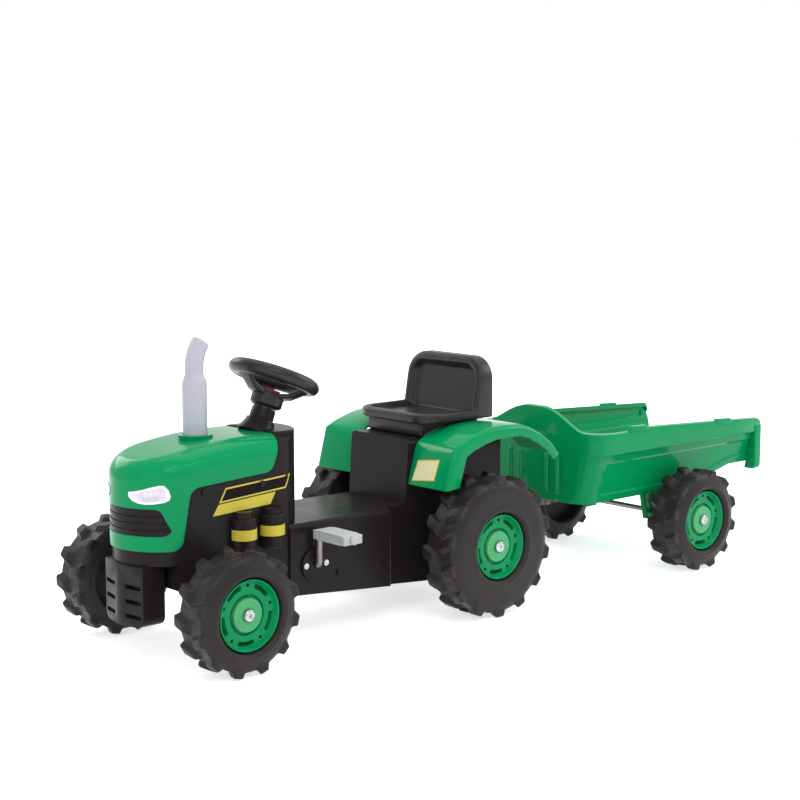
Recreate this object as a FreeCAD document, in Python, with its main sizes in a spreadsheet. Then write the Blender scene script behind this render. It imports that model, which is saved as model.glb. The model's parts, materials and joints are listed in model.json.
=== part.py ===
import FreeCAD, Part
import math
import os
import types
import Sketcher
from FreeCAD import Placement, Rotation, Vector

# Ride-on pedal tractor with its trailer. +X is forward, +Y left, +Z up.
# The origin is on the ground, under the middle of the tractor and trailer together.
doc = FreeCAD.newDocument("pedal_tractor")
sheet = doc.addObject("Spreadsheet::Sheet", "sizes")

# Driving sizes, in millimetres, degrees and counts
SIZES = {
    # clearances and common walls
    "overrun": 3,
    "running_gap": 0.05,
    "loose_gap": 0.3,
    "body_wall": 4,
    "screw_r": 2.5,
    "screw_head_r": 5,
    "screw_head_t": 3,
    "low_head_t": 1.5,
    "collar_r": 8.5,
    "collar_l": 20,
    # wheels and axles
    "front_axle_x": 602,
    "rear_axle_x": 66,
    "trailer_axle_x": -477,
    "small_tyre_r": 97.5,
    "large_tyre_r": 124,
    "small_tyre_w": 75,
    "large_tyre_w": 78,
    "front_track": 208,
    "rear_track": 209,
    "trailer_wheel_gap": 1,
    "small_lugs": 12,
    "large_lugs": 14,
    "lug_depth": 8,
    "lug_groove": 21,
    "lug_sweep": 20,
    "tyre_shoulder": 13,
    "tyre_wall": 4,
    "rim_r": 57,
    "rim_depth": 22,
    "tyre_mouth": 6,
    "vent_r": 3,
    "hub_wall": 4,
    "hub_lip": 5,
    "hub_inset": 6,
    "boss_r": 26,
    "boss_sink": 11,
    "sleeve_r": 14,
    "hub_slots": 5,
    "hub_slot_r": 42,
    "hub_slot_l": 20,
    "hub_slot_w": 10,
    "hub_hole_r": 3,
    "small_axle_r": 5,
    "large_axle_r": 6,
    "cap_r": 10,
    "cap_t": 6,
    "cap_wall": 2,
    # body shells
    "hood_half": 87,
    "hood_wall": 4,
    "nose_centre_x": 618,
    "hood_chin_z": 184,
    "hood_chin_x": 643,
    "hood_step_x": 627,
    "hood_step_z": 280,
    "hood_tail_x": 470,
    "hood_tail_z": 289,
    "hood_rear_x": 448,
    "hood_rear_z": 345,
    "hood_crown_x": 575,
    "hood_crown_z": 342,
    "hood_front_z": 316,
    "hood_round": 34,
    "hood_corner": 20,
    "nose_floor_z": 160,
    "nose_floor_x": 645,
    "bay_floor_z": 119,
    "bay_rear_x": 472,
    "nose_deck_z": 262,
    "deck_front_x": 640,
    "deck_z": 300,
    "dash_step": 3,
    "dash_rear_x": 380,
    "dash_rise": 2,
    "dash_round": 9,
    "dash_corner": 26,
    "saddle_z": 195,
    "mid_half": 87,
    "mid_front_x": 434,
    "mid_rear_x": 211,
    "belly_front_x": 440,
    "belly_front_z": 78,
    "belly_low_x": 110,
    "belly_low_z": 50,
    "rear_half": 75,
    "column_foot_x": 172,
    "column_top_x": 165,
    "column_z": 306,
    "rear_wall_x": -60,
    "rear_foot_z": 60,
    "rear_slope": 15,
    # front details
    "grille_low_z": 208,
    "grille_high_z": 251,
    "grille_low_half": 80,
    "grille_high_half": 68,
    "grille_corner": 9,
    "grille_slats": 3,
    "grille_sink": 1,
    "slat_gap": 5,
    "slat_deep": 2,
    "lamp_in_y": 27,
    "lamp_in_z": 277,
    "lamp_out_y": 78,
    "lamp_out_z": 272,
    "lamp_top_y": 56,
    "lamp_top_z": 291,
    "lamp_low_y": 50,
    "lamp_low_z": 258,
    "lamp_proud": 1.5,
    "weight_crease_x": 707,
    "weight_edge_x": 696,
    "weight_rear_x": 656,
    "weight_half": 53,
    "weight_low_z": 63,
    "weight_corner": 16,
    "weight_slot_l": 30,
    "weight_slot_t": 7,
    "weight_slot_y": 29,
    "weight_slot_deep": 3,
    "exhaust_x": 555,
    "neck_r": 21,
    "neck_flange_r": 26.5,
    "neck_flange_t": 6,
    "neck_top_z": 348,
    "pipe_r": 20,
    "pipe_tip_r": 15,
    "pipe_bore_r": 12,
    "pipe_run": 80,
    "pipe_taper": 18,
    "pipe_rise": 14,
    "pipe_bend_r": 70,
    "pipe_bend": 35,
    "canister_r": 21,
    "canister_low_z": 167,
    "canister_h": 55,
    "canister_front_x": 529,
    "canister_rear_x": 473,
    "canister_y": 88,
    "canister_lip": 3,
    "canister_neck_r": 15,
    "canister_neck_h": 10,
    # steering
    "wheel_centre_x": 397,
    "wheel_centre_z": 427,
    "wheel_r": 77.5,
    "wheel_rim_r": 12.5,
    "wheel_hub_r": 27,
    "wheel_hub_drop": 26,
    "wheel_hub_h": 22,
    "spokes": 3,
    "spoke_w": 20,
    "spoke_t": 9,
    "sleeve_wall": 7,
    "column_length": 54,
    "shaft_r": 6,
    "shaft_arm": 34,
    "shaft_tail": 12,
    "tower_r": 30,
    "tower_top_r": 21,
    "tower_h": 28,
    "bush_wall": 5,
    "bush_length": 46,
    "nut_r": 9,
    "nut_h": 6,
    "horn_r": 18,
    "horn_h": 7.5,
    "horn_well": 16,
    "bulb_h": 3.2,
    "horn_travel": 3,
    "bulb_r": 12,
    "beam_half": 14,
    "beam_t": 12,
    "kingpin_y": 105,
    "kingpin_r": 5,
    "kingpin_head_r": 8,
    "kingpin_head_t": 4,
    "knuckle_r": 12,
    "knuckle_low_z": 70,
    "knuckle_arm": 96,
    "arm_half": 8,
    "arm_t": 6,
    "tie_z": 79,
    "tie_t": 6,
    "tie_half": 9,
    "tie_pin_r": 4,
    "tie_slot_play": 0.7,
    "tie_slot_run": 6,
    "tie_web": 6,
    "tie_head_r": 7,
    "tie_head_t": 3,
    "pin_drop": 12.5,
    "shaft_slot_play": 2.4,
    "shaft_slot_front": 25,
    "shaft_slot_rear": 10,
    # pedals and drive
    "crank_x": 384,
    "crank_r": 6,
    "crank_throw": 56,
    "crank_bend_r": 7,
    "crank_arm_y": 99,
    "pedal_in_y": 107,
    "pedal_l": 79,
    "pedal_w": 38,
    "pedal_t": 17,
    "pedal_round": 3,
    "bearing_r": 28,
    "bearing_t": 4,
    "bearing_spigot_r": 15,
    "bearing_screw_r": 21,
    "chain_pitch": 12.7,
    "drive_teeth": 16,
    "driven_teeth": 10,
    "sprocket_t": 4,
    "sprocket_y": 22,
    "tooth_h": 3,
    "roller_r": 4,
    "chain_t": 5,
    "chain_w": 8,
    "sprocket_hub_r": 14,
    "sprocket_hub_l": 16,
    "axle_bush_r": 12,
    "axle_bush_flange_r": 18,
    "axle_bush_flange_t": 3,
    "axle_bush_deep": 8,
    # seat
    "seat_front_x": 144,
    "seat_rear_x": -20,
    "seat_back_h": 92,
    "seat_half": 96,
    "seat_under_z": 330,
    "seat_cushion_z": 346,
    "seat_back_low_x": 22,
    "seat_back_top_x": 6,
    "seat_foot_half": 70,
    "seat_foot_inset": 12,
    "seat_corner": 40,
    "seat_bolster": 17,
    "seat_dish": 9,
    "seat_bolt_x": 80,
    "seat_bolt_y": 40,
    "seat_bolt_r": 3,
    "seat_bolt_head_r": 7,
    "seat_bolt_head_t": 4,
    # mudguards
    "guard_out_y": 176,
    "guard_wall": 4,
    "guard_foot_x": 167,
    "guard_foot_z": 229,
    "guard_brow_x": 148,
    "guard_brow_z": 300,
    "guard_crown_front_x": 60,
    "guard_crown_rear_x": -10,
    "guard_crown_z": 327,
    "guard_tail_x": -112,
    "guard_tail_z": 266,
    "guard_skirt": 30,
    # hitch and trailer
    "hitch_x": -125,
    "hitch_pin_r": 5,
    "hitch_ear_half": 22,
    "hitch_ear_t": 5,
    "hitch_gap": 15,
    "hitch_plate_half": 34,
    "hitch_plate_h": 60,
    "hitch_plate_t": 5,
    "pin_head_r": 11,
    "pin_head_t": 6,
    "pin_tail": 12,
    "drawbar_half": 19,
    "drawbar_rear_x": -380,
    "drawbar_t": 14,
    "tub_front_x": -226,
    "tub_rear_x": -732,
    "tub_floor_z": 145,
    "tub_floor_half": 125,
    "tub_waist_z": 236,
    "tub_waist_half": 147,
    "tub_rail_step": 7,
    "tub_front_rail_z": 288,
    "tub_rear_rail_z": 265,
    "tub_wall": 4,
    "tub_tail_x": -545,
    "tub_tail_low_x": -655,
    "tub_tail_z": 176,
    "tub_post_l": 19,
    "tub_post_low_z": 161,
    "head_hump_z": 323,
    "head_hump_half": 22,
    "head_foot_half": 130,
    "rib_in_y": 34,
    "rib_out_y": 62,
    "rib_t": 4,
    "rib_proud": 4,
    "rib_lift": 12,
    "lug_y": 80,
    "lug_half": 24,
    "lug_t": 9,
    "lug_below": 13,
    "bolt_r": 4,
    "bolt_head_r": 8,
    "bolt_head_t": 4,
    "bolt_front_x": -262,
    "bolt_rear_x": -356,
}

# Shares of a size that place small features
hub_lip_slope_share = 0.8
boss_taper_share = 0.12
guard_rise_share = 0.62
bay_screw_share = 0.84
mid_screw_share = 0.2
bay_x_shares = (0.12, 0.88)
mid_x_shares = (0.12, 0.7)
panel_z_shares = (0.2, 0.8)
weight_slot_shares = (0.17, 0.41, 0.65)
hump_shares = ((0.22, 0.14), (0.45, 0.52), (0.72, 0.89), (1, 1))
sink_share = 0.85
bow_share = 1 - math.sqrt(0.5)
full_turn = 360
match_tolerance = 0.01


class Size(float):
    """A number that also carries the sheet expression it comes from."""

    def __new__(cls, number, text):
        made = super().__new__(cls, number)
        made.text = text
        return made

    def __add__(self, other):
        return Size(float(self) + float(other), f"({self.text} + {text_of(other)})")

    def __radd__(self, other):
        return Size(float(other) + float(self), f"({text_of(other)} + {self.text})")

    def __sub__(self, other):
        return Size(float(self) - float(other), f"({self.text} - {text_of(other)})")

    def __rsub__(self, other):
        return Size(float(other) - float(self), f"({text_of(other)} - {self.text})")

    def __mul__(self, other):
        return Size(float(self) * float(other), f"({self.text} * {text_of(other)})")

    def __rmul__(self, other):
        return Size(float(other) * float(self), f"({text_of(other)} * {self.text})")

    def __truediv__(self, other):
        return Size(float(self) / float(other), f"({self.text} / {text_of(other)})")

    def __neg__(self):
        return Size(-float(self), f"(-{self.text})")


def text_of(value):
    return value.text if isinstance(value, Size) else f"{float(value):.9f}"


for row, (alias, number) in enumerate(SIZES.items(), 1):
    sheet.set(f"A{row}", alias.replace("_", " "))
    sheet.set(f"B{row}", str(number))
    sheet.setAlias(f"B{row}", alias)
doc.recompute()
s = types.SimpleNamespace(**{
    alias: Size(sheet.get(alias), f"sizes.{alias}") for alias in SIZES
})
nodes = {}


def node(name, thing):
    """Names a finished piece of the tractor."""
    thing.Label = name
    nodes[name] = thing
    return thing


def bind(thing, **values):
    """Sets properties, tied to the sheet where a value comes from it."""
    for name, value in values.items():
        if isinstance(value, Size):
            thing.setExpression(name, value.text)
        else:
            setattr(thing, name, value)


def place(thing, x=0, y=0, z=0, turn=None):
    """Puts a piece at a point, with its place tied to the sheet."""
    thing.Placement = Placement(Vector(x, y, z), turn or Rotation())
    for letter, value in zip("xyz", (x, y, z)):
        if isinstance(value, Size):
            thing.setExpression(f"Placement.Base.{letter}", value.text)
    return thing


def box(low, high):
    thing = doc.addObject("Part::Box", "block")
    bind(thing, Length=high[0] - low[0], Width=high[1] - low[1], Height=high[2] - low[2])
    return place(thing, *low)


ALONG = {
    "x": Rotation(Vector(0, 1, 0), 90),
    "y": Rotation(Vector(1, 0, 0), -90),
    "z": Rotation(),
}


def rod(axis, start, radius, length):
    """Round bar from a point along an axis."""
    thing = doc.addObject("Part::Cylinder", "bar")
    bind(thing, Radius=radius, Height=length)
    return place(thing, *start, turn=ALONG[axis])


def across(x, z, radius, half):
    """Round bar across the tractor, from one side to the other."""
    return rod("y", (x, -half, z), radius, 2 * half)


def fuse(*parts):
    thing = doc.addObject("Part::MultiFuse", "joined")
    thing.Shapes = list(parts)
    thing.Refine = True
    return thing


def cut(base, *tools):
    thing = doc.addObject("Part::Cut", "trimmed")
    thing.Base = base
    thing.Tool = tools[0] if len(tools) == 1 else fuse(*tools)
    return thing


def common(first, second):
    thing = doc.addObject("Part::Common", "shared")
    thing.Base = first
    thing.Tool = second
    return thing


def group(*parts):
    """Several separate pieces that share a node."""
    thing = doc.addObject("Part::Compound", "set")
    thing.Links = list(parts)
    return thing


def mirrored(thing):
    """The same piece on the other side of the tractor."""
    twin = doc.addObject("Part::Mirroring", "twin")
    twin.Source = thing
    twin.Normal = Vector(0, 1, 0)
    return twin


def new_body(base=None):
    body = doc.addObject("PartDesign::Body", "body")
    if base is not None:
        body.BaseFeature = base
        doc.recompute()
    return body


def copy_of(thing, x=0, y=0, z=0):
    """A second piece of the same form, set at its own place."""
    return place(new_body(thing), x, y, z)


def origin_of(body, role):
    return next(item for item in body.Origin.OriginFeatures if item.Role == role)


class Bow:
    """A round stretch of an outline: a point that it passes and the point where it ends."""

    def __init__(self, middle, end):
        self.middle = middle
        self.end = end


def flat(point):
    return Vector(point[0], point[1], 0)


def pin_point(sketch, geometry, position, point):
    """Holds a corner of a sketch at its distances from the origin."""
    for letter, value, axis in zip("XY", point, (-2, -1)):
        if float(value) == 0:
            sketch.addConstraint(Sketcher.Constraint("PointOnObject", geometry, position, axis))
            continue
        rule = Sketcher.Constraint(f"Distance{letter}", -1, 1, geometry, position, float(value))
        index = sketch.addConstraint(rule)
        if isinstance(value, Size):
            sketch.setExpression(f"Constraints[{index}]", value.text)


def draw(sketch, outline, closed=True):
    """Draws points and bows as lines and arcs, each corner held by its sizes."""
    ends = [step.end if isinstance(step, Bow) else step for step in outline]
    starts = [ends[-1]] + ends[:-1]
    steps = list(zip(starts, outline, ends))
    if not closed:
        steps = steps[1:]
    tips = []
    for start, step, end in steps:
        if isinstance(step, Bow):
            arc = Part.Arc(flat(start), flat(step.middle), flat(end))
            index = sketch.addGeometry(arc, False)
            turn = (flat(step.middle) - flat(start)).cross(flat(end) - flat(step.middle)).z
            tips.append((index, 1, 2) if turn > 0 else (index, 2, 1))
            spot = sketch.addGeometry(Part.Point(flat(step.middle)), True)
            sketch.addConstraint(Sketcher.Constraint("PointOnObject", spot, 1, index))
            pin_point(sketch, spot, 1, step.middle)
        else:
            index = sketch.addGeometry(Part.LineSegment(flat(start), flat(end)), False)
            tips.append((index, 1, 2))
    for here, after in zip(tips, tips[1:] + tips[:1] if closed else tips[1:]):
        sketch.addConstraint(Sketcher.Constraint("Coincident", here[0], here[2], after[0], after[1]))
    for (index, first, last), (start, step, end) in zip(tips, steps):
        pin_point(sketch, index, last, end)
    if not closed:
        pin_point(sketch, tips[0][0], tips[0][1], steps[0][0])


def sketch_on(body, role, level=0):
    """An empty sketch on one of a body's own planes, moved along the plane's normal."""
    sketch = body.newObject("Sketcher::SketchObject", "outline")
    sketch.AttachmentSupport = (origin_of(body, role), [""])
    sketch.MapMode = "FlatFace"
    sketch.AttachmentOffset = Placement(Vector(0, 0, level), Rotation())
    if isinstance(level, Size):
        sketch.setExpression("AttachmentOffset.Base.z", level.text)
    return sketch


def slab(body, role, outline, low, high):
    """Adds an outline's solid between two levels across its plane."""
    sketch = sketch_on(body, role, -high if role == "XZ_Plane" else low)
    draw(sketch, outline)
    pad = body.newObject("PartDesign::Pad", "slab")
    pad.Profile = sketch
    bind(pad, Length=high - low)
    return pad


def cutout(body, role, outline, low, high):
    """Cuts an outline away between two levels across its plane."""
    sketch = sketch_on(body, role, -low if role == "XZ_Plane" else high)
    draw(sketch, outline)
    return cut_with(body, sketch, high - low)


def cut_with(body, sketch, depth):
    doc.recompute()
    before = body.Shape.Volume
    pocket = body.newObject("PartDesign::Pocket", "cutout")
    pocket.Profile = sketch
    bind(pocket, Length=depth)
    doc.recompute()
    if body.Shape.Volume >= before:
        raise RuntimeError("a cutout removed nothing")
    return pocket


def disc(body, role, centre, radius, low, high):
    """Adds a round slab."""
    sketch = sketch_on(body, role, -high if role == "XZ_Plane" else low)
    draw_circle(sketch, centre, radius)
    pad = body.newObject("PartDesign::Pad", "disc")
    pad.Profile = sketch
    bind(pad, Length=high - low)
    return pad


def hole(body, role, centre, radius, low, high):
    """Cuts a round hole."""
    sketch = sketch_on(body, role, -low if role == "XZ_Plane" else high)
    draw_circle(sketch, centre, radius)
    return cut_with(body, sketch, high - low)


def draw_circle(sketch, centre, radius):
    circle = Part.Circle(flat(centre), Vector(0, 0, 1), float(radius))
    index = sketch.addGeometry(circle, False)
    pin_point(sketch, index, 3, centre)
    rule = sketch.addConstraint(Sketcher.Constraint("Radius", index, float(radius)))
    if isinstance(radius, Size):
        sketch.setExpression(f"Constraints[{rule}]", radius.text)


def turned(outline, axis="Y_Axis", role="XY_Plane"):
    """A turned piece: its half outline spun about an axis."""
    body = new_body()
    sketch = sketch_on(body, role)
    draw(sketch, outline)
    spin = body.newObject("PartDesign::Revolution", "turned")
    spin.Profile = sketch
    spin.ReferenceAxis = (origin_of(body, axis), [""])
    spin.Angle = full_turn
    return body


def turned_cut(body, outline, axis="Y_Axis", role="XY_Plane"):
    sketch = sketch_on(body, role)
    draw(sketch, outline)
    groove = body.newObject("PartDesign::Groove", "turned_cut")
    groove.Profile = sketch
    groove.ReferenceAxis = (origin_of(body, axis), [""])
    groove.Angle = full_turn
    return groove


def round_off(body, radius, wanted):
    """Rounds the edges that a test picks."""
    doc.recompute()
    base = body.Tip
    names = [f"Edge{i}" for i, edge in enumerate(base.Shape.Edges, 1) if wanted(edge)]
    if not names:
        raise RuntimeError("no edge to round")
    fillet = body.newObject("PartDesign::Fillet", "rounded")
    fillet.Base = (base, names)
    bind(fillet, Radius=radius)
    doc.recompute()
    if "Invalid" in fillet.State or not fillet.Shape.isValid():
        raise RuntimeError("a rounding failed")
    return fillet


def near(first, second):
    return abs(float(first) - float(second)) < match_tolerance


def runs_along(axis, *spots):
    """A test for straight edges along an axis through one of the given spots."""
    others = [i for i in range(3) if i != axis]

    def wanted(edge):
        if len(edge.Vertexes) != 2:
            return False
        ends = [tuple(corner.Point) for corner in edge.Vertexes]
        return any(
            all(near(end[others[k]], spot[k]) for end in ends for k in range(2)) for spot in spots
        )

    return wanted


def polar(body, features, count, axis="Y_Axis"):
    """Repeats features round an axis."""
    pattern = body.newObject("PartDesign::PolarPattern", "ring")
    pattern.Originals = features
    pattern.Axis = (origin_of(body, axis), [""])
    pattern.Angle = full_turn
    bind(pattern, Occurrences=count)
    body.Tip = pattern
    return pattern


def rounded_path(points, radius):
    """Straight runs joined by tangent arcs, as steps of an open outline."""
    steps = [points[0]]
    for before, corner, after in zip(points, points[1:], points[2:]):
        back = (flat(before) - flat(corner)).normalize()
        ahead = (flat(after) - flat(corner)).normalize()
        half = math.acos(max(-1, min(1, back.dot(ahead)))) / 2
        reach = radius / math.tan(half)
        bisector = (back + ahead).normalize()
        middle = flat(corner) + bisector * (radius / math.sin(half) - radius)
        first = flat(corner) + back * reach
        last = flat(corner) + ahead * reach
        steps += [(first.x, first.y), Bow((middle.x, middle.y), (last.x, last.y))]
    return steps + [points[-1]]


def bent_rod(role, path, radius, profile_role, profile_level, profile_centre):
    """A round bar bent along a path of lines and arcs."""
    body = new_body()
    spine = sketch_on(body, role)
    draw(spine, path, closed=False)
    profile = sketch_on(body, profile_role, profile_level)
    draw_circle(profile, profile_centre, radius)
    doc.recompute()
    pipe = body.newObject("PartDesign::AdditivePipe", "bent")
    pipe.Profile = profile
    pipe.Spine = (spine, [f"Edge{i + 1}" for i in range(len(path) - 1)])
    doc.recompute()
    return body


def hull_of_bars(first, second, x_gap):
    """Outline of a belt round two circles on one level, from their radii and distance."""
    lean = math.acos((float(first) - float(second)) / float(x_gap))
    tips = []
    for centre, radius in ((0, first), (-x_gap, second)):
        for side in (1, -1):
            along = radius * -math.cos(lean)
            up = radius * (side * math.sin(lean))
            tips.append((centre + along, up))
    top_front, low_front, top_back, low_back = tips
    return [
        top_front,
        top_back,
        Bow((-x_gap - second, 0), low_back),
        low_front,
        Bow((first, 0), top_front),
    ][1:]


# Body shells: the hood form, the hollow chassis and its two halves
dash_z = s.hood_rear_z + s.dash_rise
dash_side_x = s.mid_front_x + s.dash_step


def hood_form(inset, skirt):
    """The hood's solid, drawn in by an inset. The skirt carries its lower edge down."""
    half = s.hood_half - inset
    nose_x = s.nose_centre_x + half
    far_x = nose_x + s.overrun
    rear = s.hood_rear_x - (s.hood_wall if inset else 0)
    top = [
        (rear, s.hood_rear_z - inset),
        Bow((s.hood_crown_x, s.hood_crown_z - inset), (far_x, s.hood_front_z - inset)),
    ]
    lower = [(far_x, s.hood_chin_z)]
    if skirt:
        lower = [(far_x, s.hood_chin_z - s.overrun), (rear, s.hood_chin_z - s.overrun)]
    else:
        lower += [
            (s.hood_chin_x, s.hood_chin_z),
            (s.hood_step_x, s.hood_step_z),
            (s.hood_tail_x, s.hood_tail_z),
        ]
    body = new_body()
    slab(body, "XZ_Plane", top + lower, -half, half)
    if not skirt:
        spots = [(x, z) for x, z in lower[1:]]
        round_off(body, s.hood_corner, runs_along(1, *spots))
    reach = half + s.overrun
    nose = [
        (s.nose_centre_x, reach),
        (far_x + s.overrun, reach),
        (far_x + s.overrun, -reach),
        (s.nose_centre_x, -reach),
        (s.nose_centre_x, -half),
        Bow((nose_x, 0), (s.nose_centre_x, half)),
    ]
    cutout(body, "XY_Plane", nose, 0, dash_z + s.overrun)

    def top_rim(edge):
        middle = edge.valueAt((edge.FirstParameter + edge.LastParameter) / 2)
        low = min(corner.Z for corner in edge.Vertexes)
        on_side = near(abs(middle.y), half) and middle.x < s.nose_centre_x
        on_nose = near(math.hypot(middle.x - s.nose_centre_x, middle.y), half)
        level = low > s.hood_front_z - inset - s.overrun and edge.Length > s.hood_round
        return level and (on_side or on_nose)

    round_off(body, s.hood_round - inset, top_rim)
    return body


def hood_back_x(level):
    """Just behind the hood's slanted rear edge, at a level."""
    lean = (s.hood_rear_x - s.hood_tail_x) / (s.hood_rear_z - s.hood_tail_z)
    return s.hood_tail_x + (level - s.hood_tail_z) * lean - s.loose_gap


def chassis_form(inset):
    """The chassis solid, drawn in by an inset: the side outline shared with the plan."""
    side = [
        (s.nose_centre_x + s.hood_half, s.nose_floor_z + inset),
        (s.nose_centre_x + s.hood_half, s.nose_deck_z - inset),
        (s.deck_front_x - inset, s.deck_z - inset),
        (hood_back_x(s.deck_z) - inset, s.deck_z - inset),
        (hood_back_x(s.hood_rear_z) - inset, s.hood_rear_z - inset),
        (hood_back_x(s.hood_rear_z) - inset, dash_z - inset),
        (s.dash_rear_x + inset, dash_z - inset),
        (s.dash_rear_x + inset, s.saddle_z - inset),
        (s.column_foot_x - inset, s.saddle_z - inset),
        (s.column_top_x - inset, s.column_z - inset),
        (s.rear_wall_x + s.rear_slope + inset, s.column_z - inset),
        (s.rear_wall_x + inset, s.column_z - s.rear_slope - inset),
        (s.rear_wall_x + inset, s.rear_foot_z + inset),
        (s.belly_low_x, s.belly_low_z + inset),
        (s.belly_front_x, s.belly_front_z + inset),
        (s.bay_rear_x, s.bay_floor_z + inset),
        (s.nose_floor_x - inset, s.bay_floor_z + inset),
        (s.nose_floor_x - inset, s.nose_floor_z + inset),
    ]
    flank = new_body()
    slab(flank, "XZ_Plane", side, -s.mid_half, s.mid_half)
    bay = s.hood_half - s.hood_wall - inset
    mid = s.mid_half - inset
    rear = s.rear_half - inset
    one_side = [
        (s.rear_wall_x + inset, rear),
        (s.mid_rear_x + inset, rear),
        (s.mid_rear_x + inset, mid),
        (s.mid_front_x - inset, mid),
        (s.mid_front_x - inset, bay),
        (s.nose_centre_x, bay),
    ]
    other_side = [(x, -y) for x, y in reversed(one_side)]
    nose = Bow((s.nose_centre_x + bay, 0), other_side[0])
    plan = new_body()
    slab(plan, "XY_Plane", one_side + [nose] + other_side[1:], 0, dash_z + s.overrun)
    if not inset:
        round_off(plan, s.dash_round, runs_along(2, (s.mid_rear_x, mid), (s.mid_rear_x, -mid)))
    arch = new_body()
    brow = dash_z - inset
    slab(arch, "YZ_Plane", [(mid, 0), (mid, brow), (-mid, brow), (-mid, 0)],
         s.rear_wall_x, s.nose_centre_x + s.hood_half)
    round_off(arch, s.hood_round - inset, runs_along(0, (mid, brow), (-mid, brow)))
    whole = common(common(flank, plan), arch)
    trim = new_body()
    out = s.mid_half + s.overrun
    rear_x = s.dash_rear_x + inset
    corners = [
        (rear_x - s.overrun, out),
        (rear_x - s.overrun, -out),
        (dash_side_x, -out),
        (dash_side_x, -bay),
        Bow((rear_x, 0), (dash_side_x, bay)),
        (dash_side_x, out),
    ]
    slab(trim, "XY_Plane", corners, s.saddle_z - inset, dash_z + s.overrun)
    formed = new_body(cut(whole, trim))
    if not inset:
        def soft_edge(edge):
            column = all(near(corner.Z, s.column_z) for corner in edge.Vertexes)
            saddle = all(near(corner.Z, s.saddle_z) for corner in edge.Vertexes)
            middle = edge.valueAt((edge.FirstParameter + edge.LastParameter) / 2)
            on_flank = saddle and near(abs(middle.y), mid)
            return on_flank or (column and near(abs(middle.y), rear))

        round_off(formed, s.dash_round, soft_edge)
        round_off(formed, s.dash_corner, runs_along(2, (dash_side_x, bay), (dash_side_x, -bay)))
    return formed


# Steering geometry: the column leans so that its lower crank meets the tie rod
tie_x = s.front_axle_x - s.knuckle_arm
lean_x = tie_x - s.wheel_centre_x
lean_z = s.wheel_centre_z - s.tie_z
column_reach = math.sqrt(lean_x ** 2 + lean_z ** 2 - s.shaft_arm ** 2)
tilt = math.degrees(math.atan2(lean_x, lean_z) + math.atan2(s.shaft_arm, column_reach))
column_turn = Rotation(Vector(0, 1, 0), -tilt)
shaft_length = column_reach - s.pin_drop


def on_column(thing, level=0):
    """Stands a piece on the leaning steering column, at a level from the wheel's centre."""
    rise = column_turn.multVec(Vector(0, 0, level))
    foot = Vector(s.wheel_centre_x, 0, s.wheel_centre_z) + rise
    return place(thing, foot.x, foot.y, foot.z, turn=column_turn)


def column_bar(low, high, radius):
    """Round bar along the steering column between two levels."""
    return on_column(rod("z", (0, 0, 0), radius, high - low), low)


def side_screw(x, y, z):
    """A screw through a side wall, its head outside."""
    shank = rod("y", (x, y - s.body_wall, z), s.screw_r, s.body_wall)
    head = rod("y", (x, y, z), s.screw_head_r, s.screw_head_t)
    return fuse(shank, head)


def screw_hole(x, y, z):
    return rod("y", (x, y - s.body_wall - s.overrun, z), s.screw_r + s.running_gap,
               s.body_wall + 2 * s.overrun)


bay_half = s.hood_half - s.hood_wall
screw_spots = []
for bay_share, mid_share in zip(bay_x_shares, mid_x_shares):
    bay_x = s.hood_tail_x + (s.nose_centre_x - s.hood_tail_x) * bay_share
    bay_z = s.bay_floor_z + (s.deck_z - s.bay_floor_z) * bay_screw_share
    mid_x = s.mid_rear_x + (s.crank_x - s.mid_rear_x) * mid_share
    mid_z = s.belly_front_z + (s.saddle_z - s.belly_front_z) * mid_screw_share
    screw_spots += [(bay_x, bay_half, bay_z), (mid_x, s.mid_half, mid_z)]
for z_share in panel_z_shares:
    low = s.guard_foot_z
    screw_spots.append((s.rear_axle_x, s.rear_half, low + (s.column_z - low) * z_share))

bearing_screw_spots = [
    (s.crank_x + s.bearing_screw_r * side, s.mid_half, s.large_tyre_r) for side in (-1, 1)
]
seat_bolt_spots = [(s.seat_bolt_x, s.seat_bolt_y * side) for side in (-1, 1)]

hollow = cut(chassis_form(0), chassis_form(s.body_wall))
bush_r = s.shaft_r + s.bush_wall
shaft_way = column_bar(-shaft_length, 0, bush_r + s.loose_gap)
openings = [
    across(s.crank_x, s.large_tyre_r, s.bearing_spigot_r + s.running_gap, s.mid_half + s.overrun),
    across(s.rear_axle_x, s.large_tyre_r, s.axle_bush_r + s.running_gap, s.mid_half + s.overrun),
    shaft_way,
]
for x, y, z in screw_spots + bearing_screw_spots:
    left_hole = screw_hole(x, y, z)
    openings += [left_hole, mirrored(left_hole)]
for x, y in seat_bolt_spots:
    openings.append(rod("z", (x, y, s.column_z - s.body_wall - s.overrun),
                        s.seat_bolt_r + s.running_gap, s.body_wall + 2 * s.overrun))
shell = cut(hollow, *openings)
far = s.hood_half + s.overrun
whole_low = (s.rear_wall_x - s.overrun, 0, 0)
whole_high = (s.nose_centre_x + s.hood_half + s.overrun, far, dash_z + s.overrun)
left_side = box(whole_low, whole_high)
right_side = box((whole_low[0], -far, 0), (whole_high[0], 0, whole_high[2]))
node("chassis_left", common(shell, left_side))
node("chassis_right", common(shell, right_side))

left_screws = [side_screw(*spot) for spot in screw_spots]
node("body_screws", group(*left_screws, *[mirrored(item) for item in left_screws]))

# Hood, with its exhaust neck, grille window and notch round the steering tower
inner_inset = s.hood_wall - s.loose_gap
hood_shell = cut(hood_form(0, False), hood_form(inner_inset, True))
nose_far_x = s.nose_centre_x + s.hood_half + s.overrun


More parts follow.
